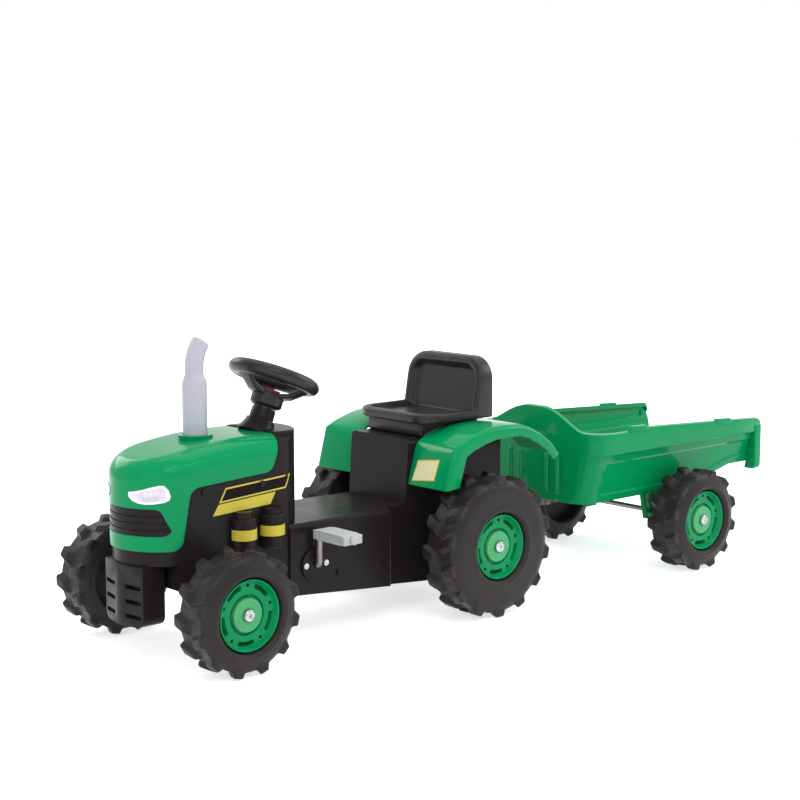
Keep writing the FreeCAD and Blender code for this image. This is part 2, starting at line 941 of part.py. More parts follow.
def window(shrink):
    """The grille's window, as a bar along the tractor's length."""
    body = new_body()
    low = s.grille_low_z + shrink
    high = s.grille_high_z - shrink
    foot = s.grille_low_half - shrink
    brow = s.grille_high_half - shrink
    outline = [(-foot, low), (foot, low), (brow, high), (-brow, high)]
    slab(body, "YZ_Plane", outline, s.nose_centre_x, nose_far_x)
    round_off(body, s.grille_corner - shrink, runs_along(0, *outline))
    return body


def nose_ring(outer, inner, low, high):
    """Half ring that follows the nose between two radii and two levels."""
    ring = cut(rod("z", (s.nose_centre_x, 0, low), outer, high - low),
               rod("z", (s.nose_centre_x, 0, low - s.overrun), inner, high - low + 2 * s.overrun))
    return ring


neck_low_z = s.hood_crown_z - s.hood_round
neck = fuse(
    rod("z", (s.exhaust_x, 0, neck_low_z), s.neck_r, s.neck_top_z - neck_low_z),
    rod("z", (s.exhaust_x, 0, s.neck_top_z - s.neck_flange_t), s.neck_flange_r, s.neck_flange_t),
)
tower_low = -s.column_length - s.tower_h
tower_room = column_bar(tower_low - 2 * s.tower_h, -s.column_length, s.tower_r + s.loose_gap)
hood_inside = hood_form(inner_inset, True)
neck_above = cut(neck, hood_inside)
bonnet = cut(fuse(hood_shell, neck_above), window(0), tower_room)
node("bonnet", bonnet)

grille_out = s.hood_half - s.grille_sink
grille_in = bay_half + s.loose_gap
grille = common(window(s.loose_gap), nose_ring(grille_out, grille_in, s.hood_chin_z, s.deck_z))
slats = []
grille_h = s.grille_high_z - s.grille_low_z
for index in range(int(s.grille_slats)):
    slat_z = s.grille_low_z + grille_h * ((index + 1) / (s.grille_slats + 1)) - s.slat_gap / 2
    slats.append(nose_ring(s.hood_half, grille_out - s.slat_deep, slat_z, slat_z + s.slat_gap))
node("front_grille", cut(grille, *slats))

# Head lamps: almond lenses that lie on the nose
lamp = new_body()
lamp_top = (s.lamp_top_y, s.lamp_top_z)
lamp_low = (s.lamp_low_y, s.lamp_low_z)
lamp_in = (s.lamp_in_y, s.lamp_in_z)
lamp_out = (s.lamp_out_y, s.lamp_out_z)
slab(lamp, "YZ_Plane", [Bow(lamp_top, lamp_in), Bow(lamp_low, lamp_out)],
     s.nose_centre_x, nose_far_x)
lens = common(lamp, nose_ring(s.hood_half + s.lamp_proud, s.hood_half + s.running_gap, s.hood_chin_z, s.deck_z))
node("headlight_left", lens)
node("headlight_right", mirrored(lens))

# Exhaust: a stout pipe that narrows and leans back at its open top
shoulder_z = s.neck_top_z + s.pipe_run
taper_z = shoulder_z + s.pipe_taper
stack = turned([
    (0, s.neck_top_z),
    (s.pipe_r, s.neck_top_z),
    (s.pipe_r, shoulder_z),
    (s.pipe_tip_r, taper_z),
    (0, taper_z),
], axis="Z_Axis", role="XZ_Plane")
place(stack, s.exhaust_x)
bend = math.radians(s.pipe_bend)
bend_z = taper_z + s.pipe_rise
bend_mid = (
    s.pipe_bend_r * (math.cos(bend / 2) - 1),
    bend_z + s.pipe_bend_r * math.sin(bend / 2),
)
bend_end = (s.pipe_bend_r * (math.cos(bend) - 1), bend_z + s.pipe_bend_r * math.sin(bend))


def pipe_top(radius, start_z):
    path = [(0, start_z), (0, bend_z), Bow(bend_mid, bend_end)]
    body = bent_rod("XZ_Plane", path, radius, "XY_Plane", start_z, (0, 0))
    return place(body, s.exhaust_x)


pipe_bore = pipe_top(s.pipe_bore_r, shoulder_z)
node("exhaust_pipe", cut(fuse(stack, pipe_top(s.pipe_tip_r, taper_z)), pipe_bore))

# Front weight block: a creased front with finger slots in both of its faces
weight = new_body()
weight_plan = [
    (s.weight_rear_x, s.weight_half),
    (s.weight_edge_x, s.weight_half),
    (s.weight_crease_x, 0),
    (s.weight_edge_x, -s.weight_half),
    (s.weight_rear_x, -s.weight_half),
]
slab(weight, "XY_Plane", weight_plan, s.weight_low_z, s.nose_floor_z)
weight_foot = [(-s.weight_half, s.weight_low_z), (s.weight_half, s.weight_low_z)]
round_off(weight, s.weight_corner, runs_along(0, *weight_foot))
weight_h = s.nose_floor_z - s.weight_low_z
for side in (-1, 1):
    for share in weight_slot_shares:
        slot_y = s.weight_slot_y * side
        slot_z = s.weight_low_z + weight_h * share
        reach_y = s.weight_slot_l / 2
        reach_z = s.weight_slot_t / 2
        slot = [
            (slot_y - reach_y, slot_z - reach_z),
            (slot_y + reach_y, slot_z - reach_z),
            (slot_y + reach_y, slot_z + reach_z),
            (slot_y - reach_y, slot_z + reach_z),
        ]
        cutout(weight, "YZ_Plane", slot, s.weight_edge_x - s.weight_slot_deep,
               s.weight_crease_x + s.overrun)
node("front_weight_block", weight)

# Filter canisters on the flanks, each with a flat back against the panel
canister_top_z = s.canister_low_z + s.canister_h
canister = turned([
    (0, s.canister_low_z),
    (s.canister_r - s.canister_lip, s.canister_low_z),
    (s.canister_r, s.canister_low_z + s.canister_lip),
    (s.canister_r, canister_top_z - s.canister_lip),
    (s.canister_r - s.canister_lip, canister_top_z),
    (s.canister_neck_r, canister_top_z),
    (s.canister_neck_r, canister_top_z + s.canister_neck_h),
    (0, canister_top_z + s.canister_neck_h),
], axis="Z_Axis", role="XZ_Plane")
left_canisters = []
for canister_x in (s.canister_front_x, s.canister_rear_x):
    whole_canister = copy_of(canister, canister_x, s.canister_y)
    panel = box((canister_x - s.canister_r - s.overrun, 0, 0),
                (canister_x + s.canister_r + s.overrun, bay_half, dash_z))
    left_canisters.append(cut(whole_canister, panel))
node("filter_canisters", group(*left_canisters, *[mirrored(item) for item in left_canisters]))

# Steering tower and its bush, shaft, wheel, nut and horn
tower_cone = doc.addObject("Part::Cone", "tower_cone")
bind(tower_cone, Radius1=s.tower_r, Radius2=s.tower_top_r, Height=s.tower_h)
on_column(tower_cone, tower_low)
tower_foot = column_bar(tower_low - s.tower_h, tower_low, s.tower_r)
dash_block = box((0, -far, 0), (s.hood_rear_x + s.hood_wall, far, dash_z))
hood_block = box((0, -far, 0), (whole_high[0], far, s.hood_rear_z - s.hood_wall))
tower_bore = column_bar(tower_low - s.tower_h, 0, bush_r + s.running_gap)
node("steering_tower", cut(fuse(tower_cone, tower_foot), dash_block, hood_block, tower_bore))
bush_low = -s.column_length - s.bush_length
bush_tube = column_bar(bush_low, -s.column_length, bush_r)
bush_bore = column_bar(bush_low - s.overrun, s.overrun - s.column_length, s.shaft_r + s.running_gap)
node("steering_bush", cut(bush_tube, bush_bore))

hub_top = -s.wheel_hub_drop
hub_low = hub_top - s.wheel_hub_h
shaft_top = hub_top - s.horn_well + s.nut_h
column_low = s.loose_gap - s.column_length
shaft_path = rounded_path([
    (0, shaft_top),
    (0, -shaft_length),
    (-s.shaft_arm, -shaft_length),
    (-s.shaft_arm, -shaft_length - s.pin_drop - s.shaft_tail),
], s.shaft_r + s.running_gap)
shaft = bent_rod("XZ_Plane", shaft_path, s.shaft_r, "XY_Plane", shaft_top, (0, 0))
node("steering_shaft", on_column(shaft))

rim = doc.addObject("Part::Torus", "rim")
bind(rim, Radius1=s.wheel_r - s.wheel_rim_r, Radius2=s.wheel_rim_r)
hub = new_body()
disc(hub, "XY_Plane", (0, 0), s.wheel_hub_r, hub_low, hub_top)
disc(hub, "XY_Plane", (0, 0), s.shaft_r + s.sleeve_wall, column_low, hub_low)
spokes = []
spoke_reach = s.wheel_r - s.wheel_rim_r
for index in range(int(s.spokes)):
    spoke = new_body()
    angle = full_turn * index / float(s.spokes)
    outline = [
        (0, hub_top),
        (0, hub_top - s.spoke_t),
        (s.wheel_hub_r, hub_top - s.spoke_t),
        (spoke_reach, -s.spoke_t / 2),
        (spoke_reach, s.spoke_t / 2),
        (s.wheel_hub_r, hub_top),
    ]
    slab(spoke, "XZ_Plane", outline, -s.spoke_w / 2, s.spoke_w / 2)
    spoke.Placement = Placement(Vector(0, 0, 0), Rotation(Vector(0, 0, 1), angle))
    spokes.append(spoke)
wheel_solid = fuse(rim, hub, *spokes)
wheel_bore = rod("z", (0, 0, column_low - s.overrun), s.shaft_r + s.running_gap,
                 hub_top - column_low + s.overrun)
horn_seat = rod("z", (0, 0, hub_top - s.horn_well), s.horn_r + s.loose_gap, s.horn_well + s.overrun)
node("steering_wheel", on_column(new_body(cut(wheel_solid, wheel_bore, horn_seat))))

# The nut, the horn's squeaker and its button stand in a well in the wheel's hub
well_floor = hub_top - s.horn_well
nut_top = well_floor + s.nut_h
nut = cut(column_bar(well_floor, nut_top, s.nut_r),
          column_bar(well_floor - s.overrun, nut_top + s.overrun, s.shaft_r + s.running_gap))
node("steering_wheel_nut", nut)
bulb_top = nut_top + s.bulb_h
button_low = bulb_top + s.horn_travel + s.loose_gap
node("horn_squeaker", column_bar(nut_top, bulb_top, s.bulb_r))
node("horn_button", column_bar(button_low, button_low + s.horn_h, s.horn_r))

# Front axle beam, kingpins, knuckles and tie rod
beam_low_z = s.bay_floor_z - s.beam_t
beam_parts = [box((s.front_axle_x - s.beam_half, -s.kingpin_y, beam_low_z),
                  (s.front_axle_x + s.beam_half, s.kingpin_y, s.bay_floor_z))]
pin_ways = []
kingpins = []
pin_low_z = s.knuckle_low_z - s.loose_gap
for kingpin_y in (-s.kingpin_y, s.kingpin_y):
    beam_parts.append(rod("z", (s.front_axle_x, kingpin_y, beam_low_z), s.beam_half, s.beam_t))
    pin_ways.append(rod("z", (s.front_axle_x, kingpin_y, beam_low_z - s.overrun),
                        s.kingpin_r + s.running_gap, s.beam_t + 2 * s.overrun))
    kingpins.append(fuse(
        rod("z", (s.front_axle_x, kingpin_y, pin_low_z), s.kingpin_r, s.bay_floor_z - pin_low_z),
        rod("z", (s.front_axle_x, kingpin_y, s.bay_floor_z), s.kingpin_head_r, s.kingpin_head_t),
        rod("z", (s.front_axle_x, kingpin_y, pin_low_z - s.kingpin_head_t), s.kingpin_head_r,
            s.kingpin_head_t),
    ))
node("front_axle_beam", cut(fuse(*beam_parts), *pin_ways))
node("kingpins", group(*kingpins))

tie_top_z = s.tie_z + s.tie_t / 2
tie_low_z = s.tie_z - s.tie_t / 2
arm_low_z = tie_top_z + s.loose_gap
hub_face_drop = s.boss_sink - s.loose_gap
axle_end_proud = s.cap_t - s.cap_wall - hub_face_drop
front_inner_y = s.front_track - s.small_tyre_w - s.loose_gap
knuckle_solid = fuse(
    rod("z", (s.front_axle_x, s.kingpin_y, s.knuckle_low_z), s.knuckle_r,
        beam_low_z - s.loose_gap - s.knuckle_low_z),
    rod("y", (s.front_axle_x, s.kingpin_y, s.small_tyre_r), s.small_axle_r,
        s.front_track + axle_end_proud - s.kingpin_y),
    rod("y", (s.front_axle_x, s.kingpin_y, s.small_tyre_r), s.collar_r, front_inner_y - s.kingpin_y),
    box((tie_x, s.kingpin_y - s.arm_half, arm_low_z),
        (s.front_axle_x, s.kingpin_y + s.arm_half, arm_low_z + s.arm_t)),
    rod("z", (tie_x, s.kingpin_y, arm_low_z), s.arm_half, s.arm_t),
    rod("z", (tie_x, s.kingpin_y, tie_low_z - s.loose_gap), s.tie_pin_r,
        arm_low_z - tie_low_z + s.loose_gap),
    rod("z", (tie_x, s.kingpin_y, tie_low_z - s.loose_gap - s.tie_head_t), s.tie_head_r, s.tie_head_t),
)
knuckle_bore = rod("z", (s.front_axle_x, s.kingpin_y, s.knuckle_low_z - s.overrun),
                   s.kingpin_r + s.running_gap, s.bay_floor_z - s.knuckle_low_z)
node("knuckle_left", cut(knuckle_solid, knuckle_bore))
node("knuckle_right", mirrored(nodes["knuckle_left"]))


def tie_plate(low_x, high_x, middle_y, half_y):
    return box((low_x, middle_y - half_y, tie_low_z), (high_x, middle_y + half_y, tie_top_z))


def tie_slot(low_x, high_x, middle_y, half_y):
    return box((low_x, middle_y - half_y, tie_low_z - s.overrun),
               (high_x, middle_y + half_y, tie_top_z + s.overrun))


end_play = s.tie_pin_r + s.tie_slot_play
mid_play = s.shaft_r + s.shaft_slot_play
tie_parts = [tie_plate(tie_x - s.tie_half, tie_x + s.tie_half, 0, s.kingpin_y)]
tie_parts.append(tie_plate(tie_x - s.shaft_slot_rear - s.tie_web, tie_x + s.shaft_slot_front + s.tie_web,
                           0, mid_play + s.tie_web))
tie_ways = [tie_slot(tie_x - s.shaft_slot_rear, tie_x + s.shaft_slot_front, 0, mid_play)]
for end_y in (-s.kingpin_y, s.kingpin_y):
    tie_parts.append(tie_plate(tie_x - end_play - s.tie_web, tie_x + end_play + s.tie_slot_run + s.tie_web,
                               end_y, end_play + s.tie_web))
    tie_ways.append(tie_slot(tie_x - end_play, tie_x + end_play + s.tie_slot_run, end_y, end_play))
node("tie_rod", cut(fuse(*tie_parts), *tie_ways))


# Wheels: hollow tyres with slanted lugs, and hub covers whose sleeve runs on the axle

def tyre_form(radius, width, lugs):
    half = width / 2
    bore = s.sleeve_r + s.loose_gap
    floor = half - s.rim_depth
    shoulder = s.tyre_shoulder
    corner = shoulder * bow_share
    body = turned([
        (bore, -half),
        (radius - shoulder, -half),
        Bow((radius - corner, corner - half), (radius, shoulder - half)),
        (radius, half - shoulder),
        Bow((radius - corner, half - corner), (radius - shoulder, half)),
        (s.rim_r + s.tyre_mouth, half),
        (s.rim_r, half - s.tyre_mouth),
        (s.rim_r, floor),
        (bore, floor),
    ])
    core = radius - s.lug_depth - s.tyre_wall
    side = half - s.tyre_wall
    turned_cut(body, [
        (bore + s.tyre_wall, -side),
        (core, -side),
        (core, side),
        (s.rim_r + s.tyre_wall + s.tyre_mouth, side),
        (s.rim_r + s.tyre_wall, side - s.tyre_mouth),
        (s.rim_r + s.tyre_wall, floor - s.tyre_wall),
        (bore + s.tyre_wall, floor - s.tyre_wall),
    ])
    hole(body, "XZ_Plane", ((core + s.rim_r) / 2, 0), s.vent_r, -half - s.overrun, s.overrun - side)
    cuts = []
    for way, angle in ((1, 0), (-1, full_turn / 2 / lugs)):
        sketch = sketch_on(body, "XY_Plane")
        turn = Rotation(Vector(0, 1, 0), float(angle))
        sketch.AttachmentOffset = Placement(turn.multVec(Vector(0, 0, radius + s.overrun)), turn)
        reach = (half + s.overrun) * way
        start = s.overrun * way
        lean = s.lug_sweep / 2
        gap = s.lug_groove / 2
        draw(sketch, [
            (-lean - gap, start),
            (gap - lean, start),
            (lean + gap, reach),
            (lean - gap, reach),
        ])
        cuts.append(cut_with(body, sketch, s.lug_depth + s.overrun))
    polar(body, cuts, lugs)
    return body


def hub_form(width, axle_r):
    half = width / 2
    floor = half - s.rim_depth
    face = floor + s.hub_wall
    lip = s.rim_r - s.loose_gap
    slope = s.hub_lip * (1 + hub_lip_slope_share)
    body = turned([
        (axle_r + s.running_gap, -half),
        (s.sleeve_r, -half),
        (s.sleeve_r, floor),
        (lip, floor),
        (lip, half - s.hub_inset),
        (lip - s.hub_lip, half - s.hub_inset),
        (lip - slope, face),
        (s.boss_r * (1 + boss_taper_share), face),
        (s.boss_r, half - s.boss_sink),
        (axle_r + s.running_gap, half - s.boss_sink),
    ])
    near_r = s.hub_slot_r - s.hub_slot_w / 2
    far_r = s.hub_slot_r + s.hub_slot_w / 2
    end = s.hub_slot_l / 2
    tip = end + s.hub_slot_w / 2
    slot = cutout(body, "XZ_Plane", [
        (near_r, end),
        Bow((s.hub_slot_r, tip), (far_r, end)),
        (far_r, -end),
        Bow((s.hub_slot_r, -tip), (near_r, -end)),
    ], floor - s.overrun, face + s.overrun)
    between = math.pi / float(s.hub_slots)
    spot = (s.hub_slot_r * math.cos(between), s.hub_slot_r * math.sin(between))
    dot = hole(body, "XZ_Plane", spot, s.hub_hole_r, floor - s.overrun, face + s.overrun)
    polar(body, [slot, dot], s.hub_slots)
    return body


def cap_form(axle_r, radius):
    """A push cap, measured from the face that it stands off."""
    seat = s.cap_t - s.cap_wall
    return turned([
        (0, s.cap_t),
        (radius - s.cap_wall, s.cap_t),
        (radius, seat),
        (radius, 0),
        (axle_r + s.running_gap, 0),
        (axle_r + s.running_gap, seat),
        (0, seat),
    ])


small_tyre = tyre_form(s.small_tyre_r, s.small_tyre_w, s.small_lugs)
large_tyre = tyre_form(s.large_tyre_r, s.large_tyre_w, s.large_lugs)
small_hub = hub_form(s.small_tyre_w, s.small_axle_r)
large_hub = hub_form(s.large_tyre_w, s.large_axle_r)
small_cap = cap_form(s.small_axle_r, s.cap_r)
large_cap = cap_form(s.large_axle_r, s.cap_r)
trailer_track = s.tub_waist_half + s.trailer_wheel_gap + s.small_tyre_w
tub_rail_half = s.tub_waist_half + s.tub_rail_step
wheel_sets = {
    "front": (s.front_axle_x, s.front_track, s.small_tyre_r, s.small_tyre_w, small_tyre, small_hub),
    "rear": (s.rear_axle_x, s.rear_track, s.large_tyre_r, s.large_tyre_w, large_tyre, large_hub),
    "trailer": (s.trailer_axle_x, trailer_track, s.small_tyre_r, s.small_tyre_w, small_tyre, small_hub),
}
for end, (x, track, radius, width, tyre, cover) in wheel_sets.items():
    for piece, form in (("tyre", tyre), ("hub", cover)):
        left = node(f"{end}_left_{piece}", copy_of(form, x, track - width / 2, radius))
        node(f"{end}_right_{piece}", mirrored(left))

cap_y = s.front_track - hub_face_drop
node("front_left_axle_cap", copy_of(small_cap, s.front_axle_x, cap_y, s.small_tyre_r))
node("front_right_axle_cap", mirrored(nodes["front_left_axle_cap"]))


def cap_pair(form, x, y, z):
    left = copy_of(form, x, y, z)
    return group(left, mirrored(left))


node("rear_axle_caps", cap_pair(large_cap, s.rear_axle_x, s.rear_track - hub_face_drop, s.large_tyre_r))
node("trailer_axle_caps",
     cap_pair(small_cap, s.trailer_axle_x, trailer_track - hub_face_drop, s.small_tyre_r))

# Rear axle with its spacers, bushes, and the driven sprocket
rear_end = s.rear_track + axle_end_proud
rear_inner_y = s.rear_track - s.large_tyre_w - s.loose_gap
bush_face_y = s.rear_half + s.axle_bush_flange_t
rear_spacer = rod("y", (s.rear_axle_x, bush_face_y + s.loose_gap, s.large_tyre_r), s.collar_r,
                  rear_inner_y - bush_face_y - s.loose_gap)
node("rear_axle", fuse(across(s.rear_axle_x, s.large_tyre_r, s.large_axle_r, rear_end),
                       rear_spacer, mirrored(rear_spacer)))


def flanged_bush(x, y, z, spigot_r, deep, flange_r, flange_t, bore_r):
    """A bush in a side wall: a spigot inward and a flange outside."""
    solid = fuse(rod("y", (x, y - deep, z), spigot_r, deep), rod("y", (x, y, z), flange_r, flange_t))
    return cut(solid, rod("y", (x, y - deep - s.overrun, z), bore_r, deep + flange_t + 2 * s.overrun))


axle_bush = flanged_bush(s.rear_axle_x, s.rear_half, s.large_tyre_r, s.axle_bush_r, s.axle_bush_deep,
                         s.axle_bush_flange_r, s.axle_bush_flange_t, s.large_axle_r + s.running_gap)
node("rear_axle_bushes", group(axle_bush, mirrored(axle_bush)))

# Crank, its bearings, the pedals and the chain drive, level with the rear axle
crank_z = s.large_tyre_r
pedal_out_y = s.pedal_in_y + s.pedal_l
pin_end = pedal_out_y + s.loose_gap + s.cap_t - s.cap_wall
crank_path = rounded_path([
    (-pin_end, -s.crank_throw),
    (-s.crank_arm_y, -s.crank_throw),
    (-s.crank_arm_y, 0),
    (s.crank_arm_y, 0),
    (s.crank_arm_y, s.crank_throw),
    (pin_end, s.crank_throw),
], s.crank_bend_r)
crank = bent_rod("YZ_Plane", crank_path, s.crank_r, "XZ_Plane", pin_end, (0, -s.crank_throw))
node("crank_shaft", place(crank, s.crank_x, 0, crank_z))
pedal_cap = cap_form(s.crank_r, s.cap_r)
left_cap = copy_of(pedal_cap, s.crank_x, pedal_out_y + s.loose_gap, crank_z + s.crank_throw)
right_cap_master = copy_of(pedal_cap, s.crank_x, pedal_out_y + s.loose_gap, crank_z - s.crank_throw)
node("pedal_caps", group(left_cap, mirrored(right_cap_master)))

pedal = new_body()
pedal_x = s.pedal_w / 2
pedal_z = s.pedal_t / 2
pedal_outline = [(-pedal_x, -pedal_z), (pedal_x, -pedal_z), (pedal_x, pedal_z), (-pedal_x, pedal_z)]
slab(pedal, "XZ_Plane", pedal_outline, 0, s.pedal_l)
round_off(pedal, s.pedal_round, runs_along(1, *pedal_outline))
hole(pedal, "XZ_Plane", (0, 0), s.crank_r + s.running_gap, -s.overrun, s.pedal_l + s.overrun)
node("pedal_left", copy_of(pedal, s.crank_x, s.pedal_in_y, crank_z + s.crank_throw))
node("pedal_right", copy_of(pedal, s.crank_x, -pedal_out_y, crank_z - s.crank_throw))

plate = flanged_bush(s.crank_x, s.mid_half, crank_z, s.bearing_spigot_r, s.axle_bush_deep,
                     s.bearing_r, s.bearing_t, s.crank_r + s.running_gap)
plate_ways = []
bearing_screws = []
for x, y, z in bearing_screw_spots:
    plate_ways.append(rod("y", (x, y - s.overrun, z), s.screw_r + s.running_gap,
                          s.bearing_t + 2 * s.overrun))
    bearing_screws.append(fuse(
        rod("y", (x, y - s.body_wall, z), s.screw_r, s.body_wall + s.bearing_t),
        rod("y", (x, y + s.bearing_t, z), s.screw_head_r, s.low_head_t),
    ))
left_plate = cut(plate, *plate_ways)
node("crank_bearing_plates", group(left_plate, mirrored(left_plate)))
node("bearing_screws", group(*bearing_screws, *[mirrored(item) for item in bearing_screws]))


def pitch_radius(teeth):
    return s.chain_pitch / (2 * math.sin(math.pi / float(teeth)))


def sprocket_form(teeth, shaft_r):
    tip_r = pitch_radius(teeth) + s.tooth_h
    low = s.sprocket_y - s.sprocket_t / 2
    high = s.sprocket_y + s.sprocket_t / 2
    body = new_body()
    disc(body, "XZ_Plane", (0, 0), tip_r, low, high)
    notch = hole(body, "XZ_Plane", (tip_r, 0), s.roller_r, low - s.overrun, high + s.overrun)
    polar(body, [notch], teeth)
    disc(body, "XZ_Plane", (0, 0), s.sprocket_hub_r, s.sprocket_y - s.sprocket_hub_l / 2,
         s.sprocket_y + s.sprocket_hub_l / 2)
    hole(body, "XZ_Plane", (0, 0), shaft_r + s.running_gap, low - s.sprocket_hub_l,
         high + s.sprocket_hub_l)
    return body


node("drive_sprocket", place(sprocket_form(s.drive_teeth, s.crank_r), s.crank_x, 0, crank_z))
node("driven_sprocket", place(sprocket_form(s.driven_teeth, s.large_axle_r), s.rear_axle_x, 0, crank_z))
drive_r = pitch_radius(s.drive_teeth) + s.tooth_h + s.loose_gap
driven_r = pitch_radius(s.driven_teeth) + s.tooth_h + s.loose_gap
centre_gap = s.crank_x - s.rear_axle_x
chain = new_body()
chain_low = s.sprocket_y - s.chain_w / 2
chain_high = s.sprocket_y + s.chain_w / 2
slab(chain, "XZ_Plane", hull_of_bars(drive_r + s.chain_t, driven_r + s.chain_t, centre_gap),
     chain_low, chain_high)
cutout(chain, "XZ_Plane", hull_of_bars(drive_r, driven_r, centre_gap),
       chain_low - s.overrun, chain_high + s.overrun)
node("drive_chain", place(chain, s.crank_x, 0, crank_z))

# Seat: a dished bucket on a foot, held by two bolts
seat_top_z = s.seat_cushion_z + s.seat_back_h
seat = new_body()
slab(seat, "XZ_Plane", [
    (s.seat_front_x, s.seat_under_z),
    (s.seat_front_x, s.seat_cushion_z),
    (s.seat_back_low_x, s.seat_cushion_z),
    (s.seat_back_top_x, seat_top_z),
    (s.seat_rear_x, seat_top_z),
    (s.seat_rear_x, s.seat_under_z),
], -s.seat_half, s.seat_half)
round_off(seat, s.seat_corner, runs_along(0, (s.seat_half, seat_top_z), (-s.seat_half, seat_top_z)))
round_off(seat, s.seat_corner,
          runs_along(2, (s.seat_front_x, s.seat_half), (s.seat_front_x, -s.seat_half)))
dish_half = s.seat_half - s.seat_bolster
dish_z = s.seat_cushion_z - s.seat_dish
cutout(seat, "XZ_Plane", [
    (s.seat_front_x - s.seat_bolster, s.seat_cushion_z + s.overrun),
    (s.seat_front_x - s.seat_bolster - s.seat_dish, dish_z),
    (s.seat_back_low_x - s.seat_dish, dish_z),
    (s.seat_back_top_x - s.seat_dish, seat_top_z - s.seat_bolster),
    (s.seat_back_low_x, seat_top_z - s.seat_bolster),
], -dish_half, dish_half)
foot = [
    (s.seat_rear_x + s.seat_foot_inset, -s.seat_foot_half),
    (s.seat_front_x - s.seat_foot_inset, -s.seat_foot_half),
    (s.seat_front_x - s.seat_foot_inset, s.seat_foot_half),
    (s.seat_rear_x + s.seat_foot_inset, s.seat_foot_half),
]
slab(seat, "XY_Plane", foot, s.column_z, s.seat_under_z)
seat_bolts = []
for x, y in seat_bolt_spots:
    hole(seat, "XY_Plane", (x, y), s.seat_bolt_r + s.running_gap, s.column_z - s.overrun,
         dish_z + s.overrun)
    well_z = dish_z - s.seat_bolt_head_t - s.loose_gap
    hole(seat, "XY_Plane", (x, y), s.seat_bolt_head_r + s.loose_gap, well_z, dish_z + s.overrun)
    shank_low = s.column_z - s.body_wall
    seat_bolts.append(fuse(rod("z", (x, y, shank_low), s.seat_bolt_r, well_z - shank_low),
                           rod("z", (x, y, well_z), s.seat_bolt_head_r, s.seat_bolt_head_t)))
node("seat", seat)
node("seat_bolts", group(*seat_bolts))


# Mudguards: an arched shell with a front panel and an outer skirt

def guard_outline(inset):
    """The guard's arch, drawn in by an inset."""
    rise = s.guard_crown_z - s.guard_brow_z
    fall = s.guard_crown_z - s.guard_tail_z
    brow_mid = (
        (s.guard_brow_x + s.guard_crown_front_x) / 2 - inset / 2,
        s.guard_brow_z + rise * guard_rise_share - inset,
    )
    tail_mid = (
        (s.guard_crown_rear_x + s.guard_tail_x) / 2 + inset / 2,
        s.guard_tail_z + fall * guard_rise_share - inset,
    )
    return [
        (s.guard_foot_x - inset, s.guard_foot_z - (s.overrun if inset else 0)),
        (s.guard_brow_x - inset, s.guard_brow_z - inset),
        Bow(brow_mid, (s.guard_crown_front_x, s.guard_crown_z - inset)),
        (s.guard_crown_rear_x, s.guard_crown_z - inset),
        Bow(tail_mid, (s.guard_tail_x + inset, s.guard_tail_z - (s.overrun if inset else 0))),
    ]


guard = new_body()
slab(guard, "XZ_Plane", guard_outline(0), s.rear_half, s.guard_out_y)
cutout(guard, "XZ_Plane", guard_outline(s.guard_wall), s.rear_half - s.overrun,
       s.guard_out_y - s.guard_wall)
cutout(guard, "XZ_Plane", guard_outline(s.guard_skirt), s.rear_half, s.guard_out_y + s.overrun)
node("fender_left", guard)
node("fender_right", mirrored(guard))

# Hitch: a fork on the rear wall, the lift-out pin, and the trailer's drawbar
hitch_z = s.tub_floor_z - s.drawbar_t / 2
fork_low = hitch_z - s.hitch_gap / 2 - s.hitch_ear_t
fork_high = hitch_z + s.hitch_gap / 2
plate_x = s.rear_wall_x - s.hitch_plate_t
fork_parts = [box((plate_x, -s.hitch_plate_half, hitch_z - s.hitch_plate_h / 2),
                  (s.rear_wall_x, s.hitch_plate_half, hitch_z + s.hitch_plate_h / 2))]
for level in (fork_low, fork_high):
    fork_parts.append(box((s.hitch_x, -s.hitch_ear_half, level),
                          (plate_x, s.hitch_ear_half, level + s.hitch_ear_t)))
    fork_parts.append(rod("z", (s.hitch_x, 0, level), s.hitch_ear_half, s.hitch_ear_t))
fork_top = fork_high + s.hitch_ear_t
fork_bore = rod("z", (s.hitch_x, 0, fork_low - s.overrun), s.hitch_pin_r + s.running_gap,
                fork_top - fork_low + 2 * s.overrun)
node("hitch_bracket", cut(fuse(*fork_parts), fork_bore))
pin_low = fork_low - s.pin_tail
node("hitch_pin", fuse(rod("z", (s.hitch_x, 0, pin_low), s.hitch_pin_r, fork_top - pin_low),
                       rod("z", (s.hitch_x, 0, fork_top), s.pin_head_r, s.pin_head_t)))

bar_low = s.tub_floor_z - s.drawbar_t
bar_ways = [rod("z", (s.hitch_x, 0, bar_low - s.overrun), s.hitch_pin_r + s.running_gap,
                s.drawbar_t + 2 * s.overrun)]
floor_ways = []
drawbar_bolts = []
floor_top = s.tub_floor_z + s.tub_wall
sink = s.tub_wall * sink_share
sink_z = floor_top - sink


def taper(x, z, radius, height):
    """A round taper that widens as much as it rises."""
    thing = doc.addObject("Part::Cone", "taper")
    bind(thing, Radius1=radius, Radius2=radius + height, Height=height)
    return place(thing, x, 0, z)


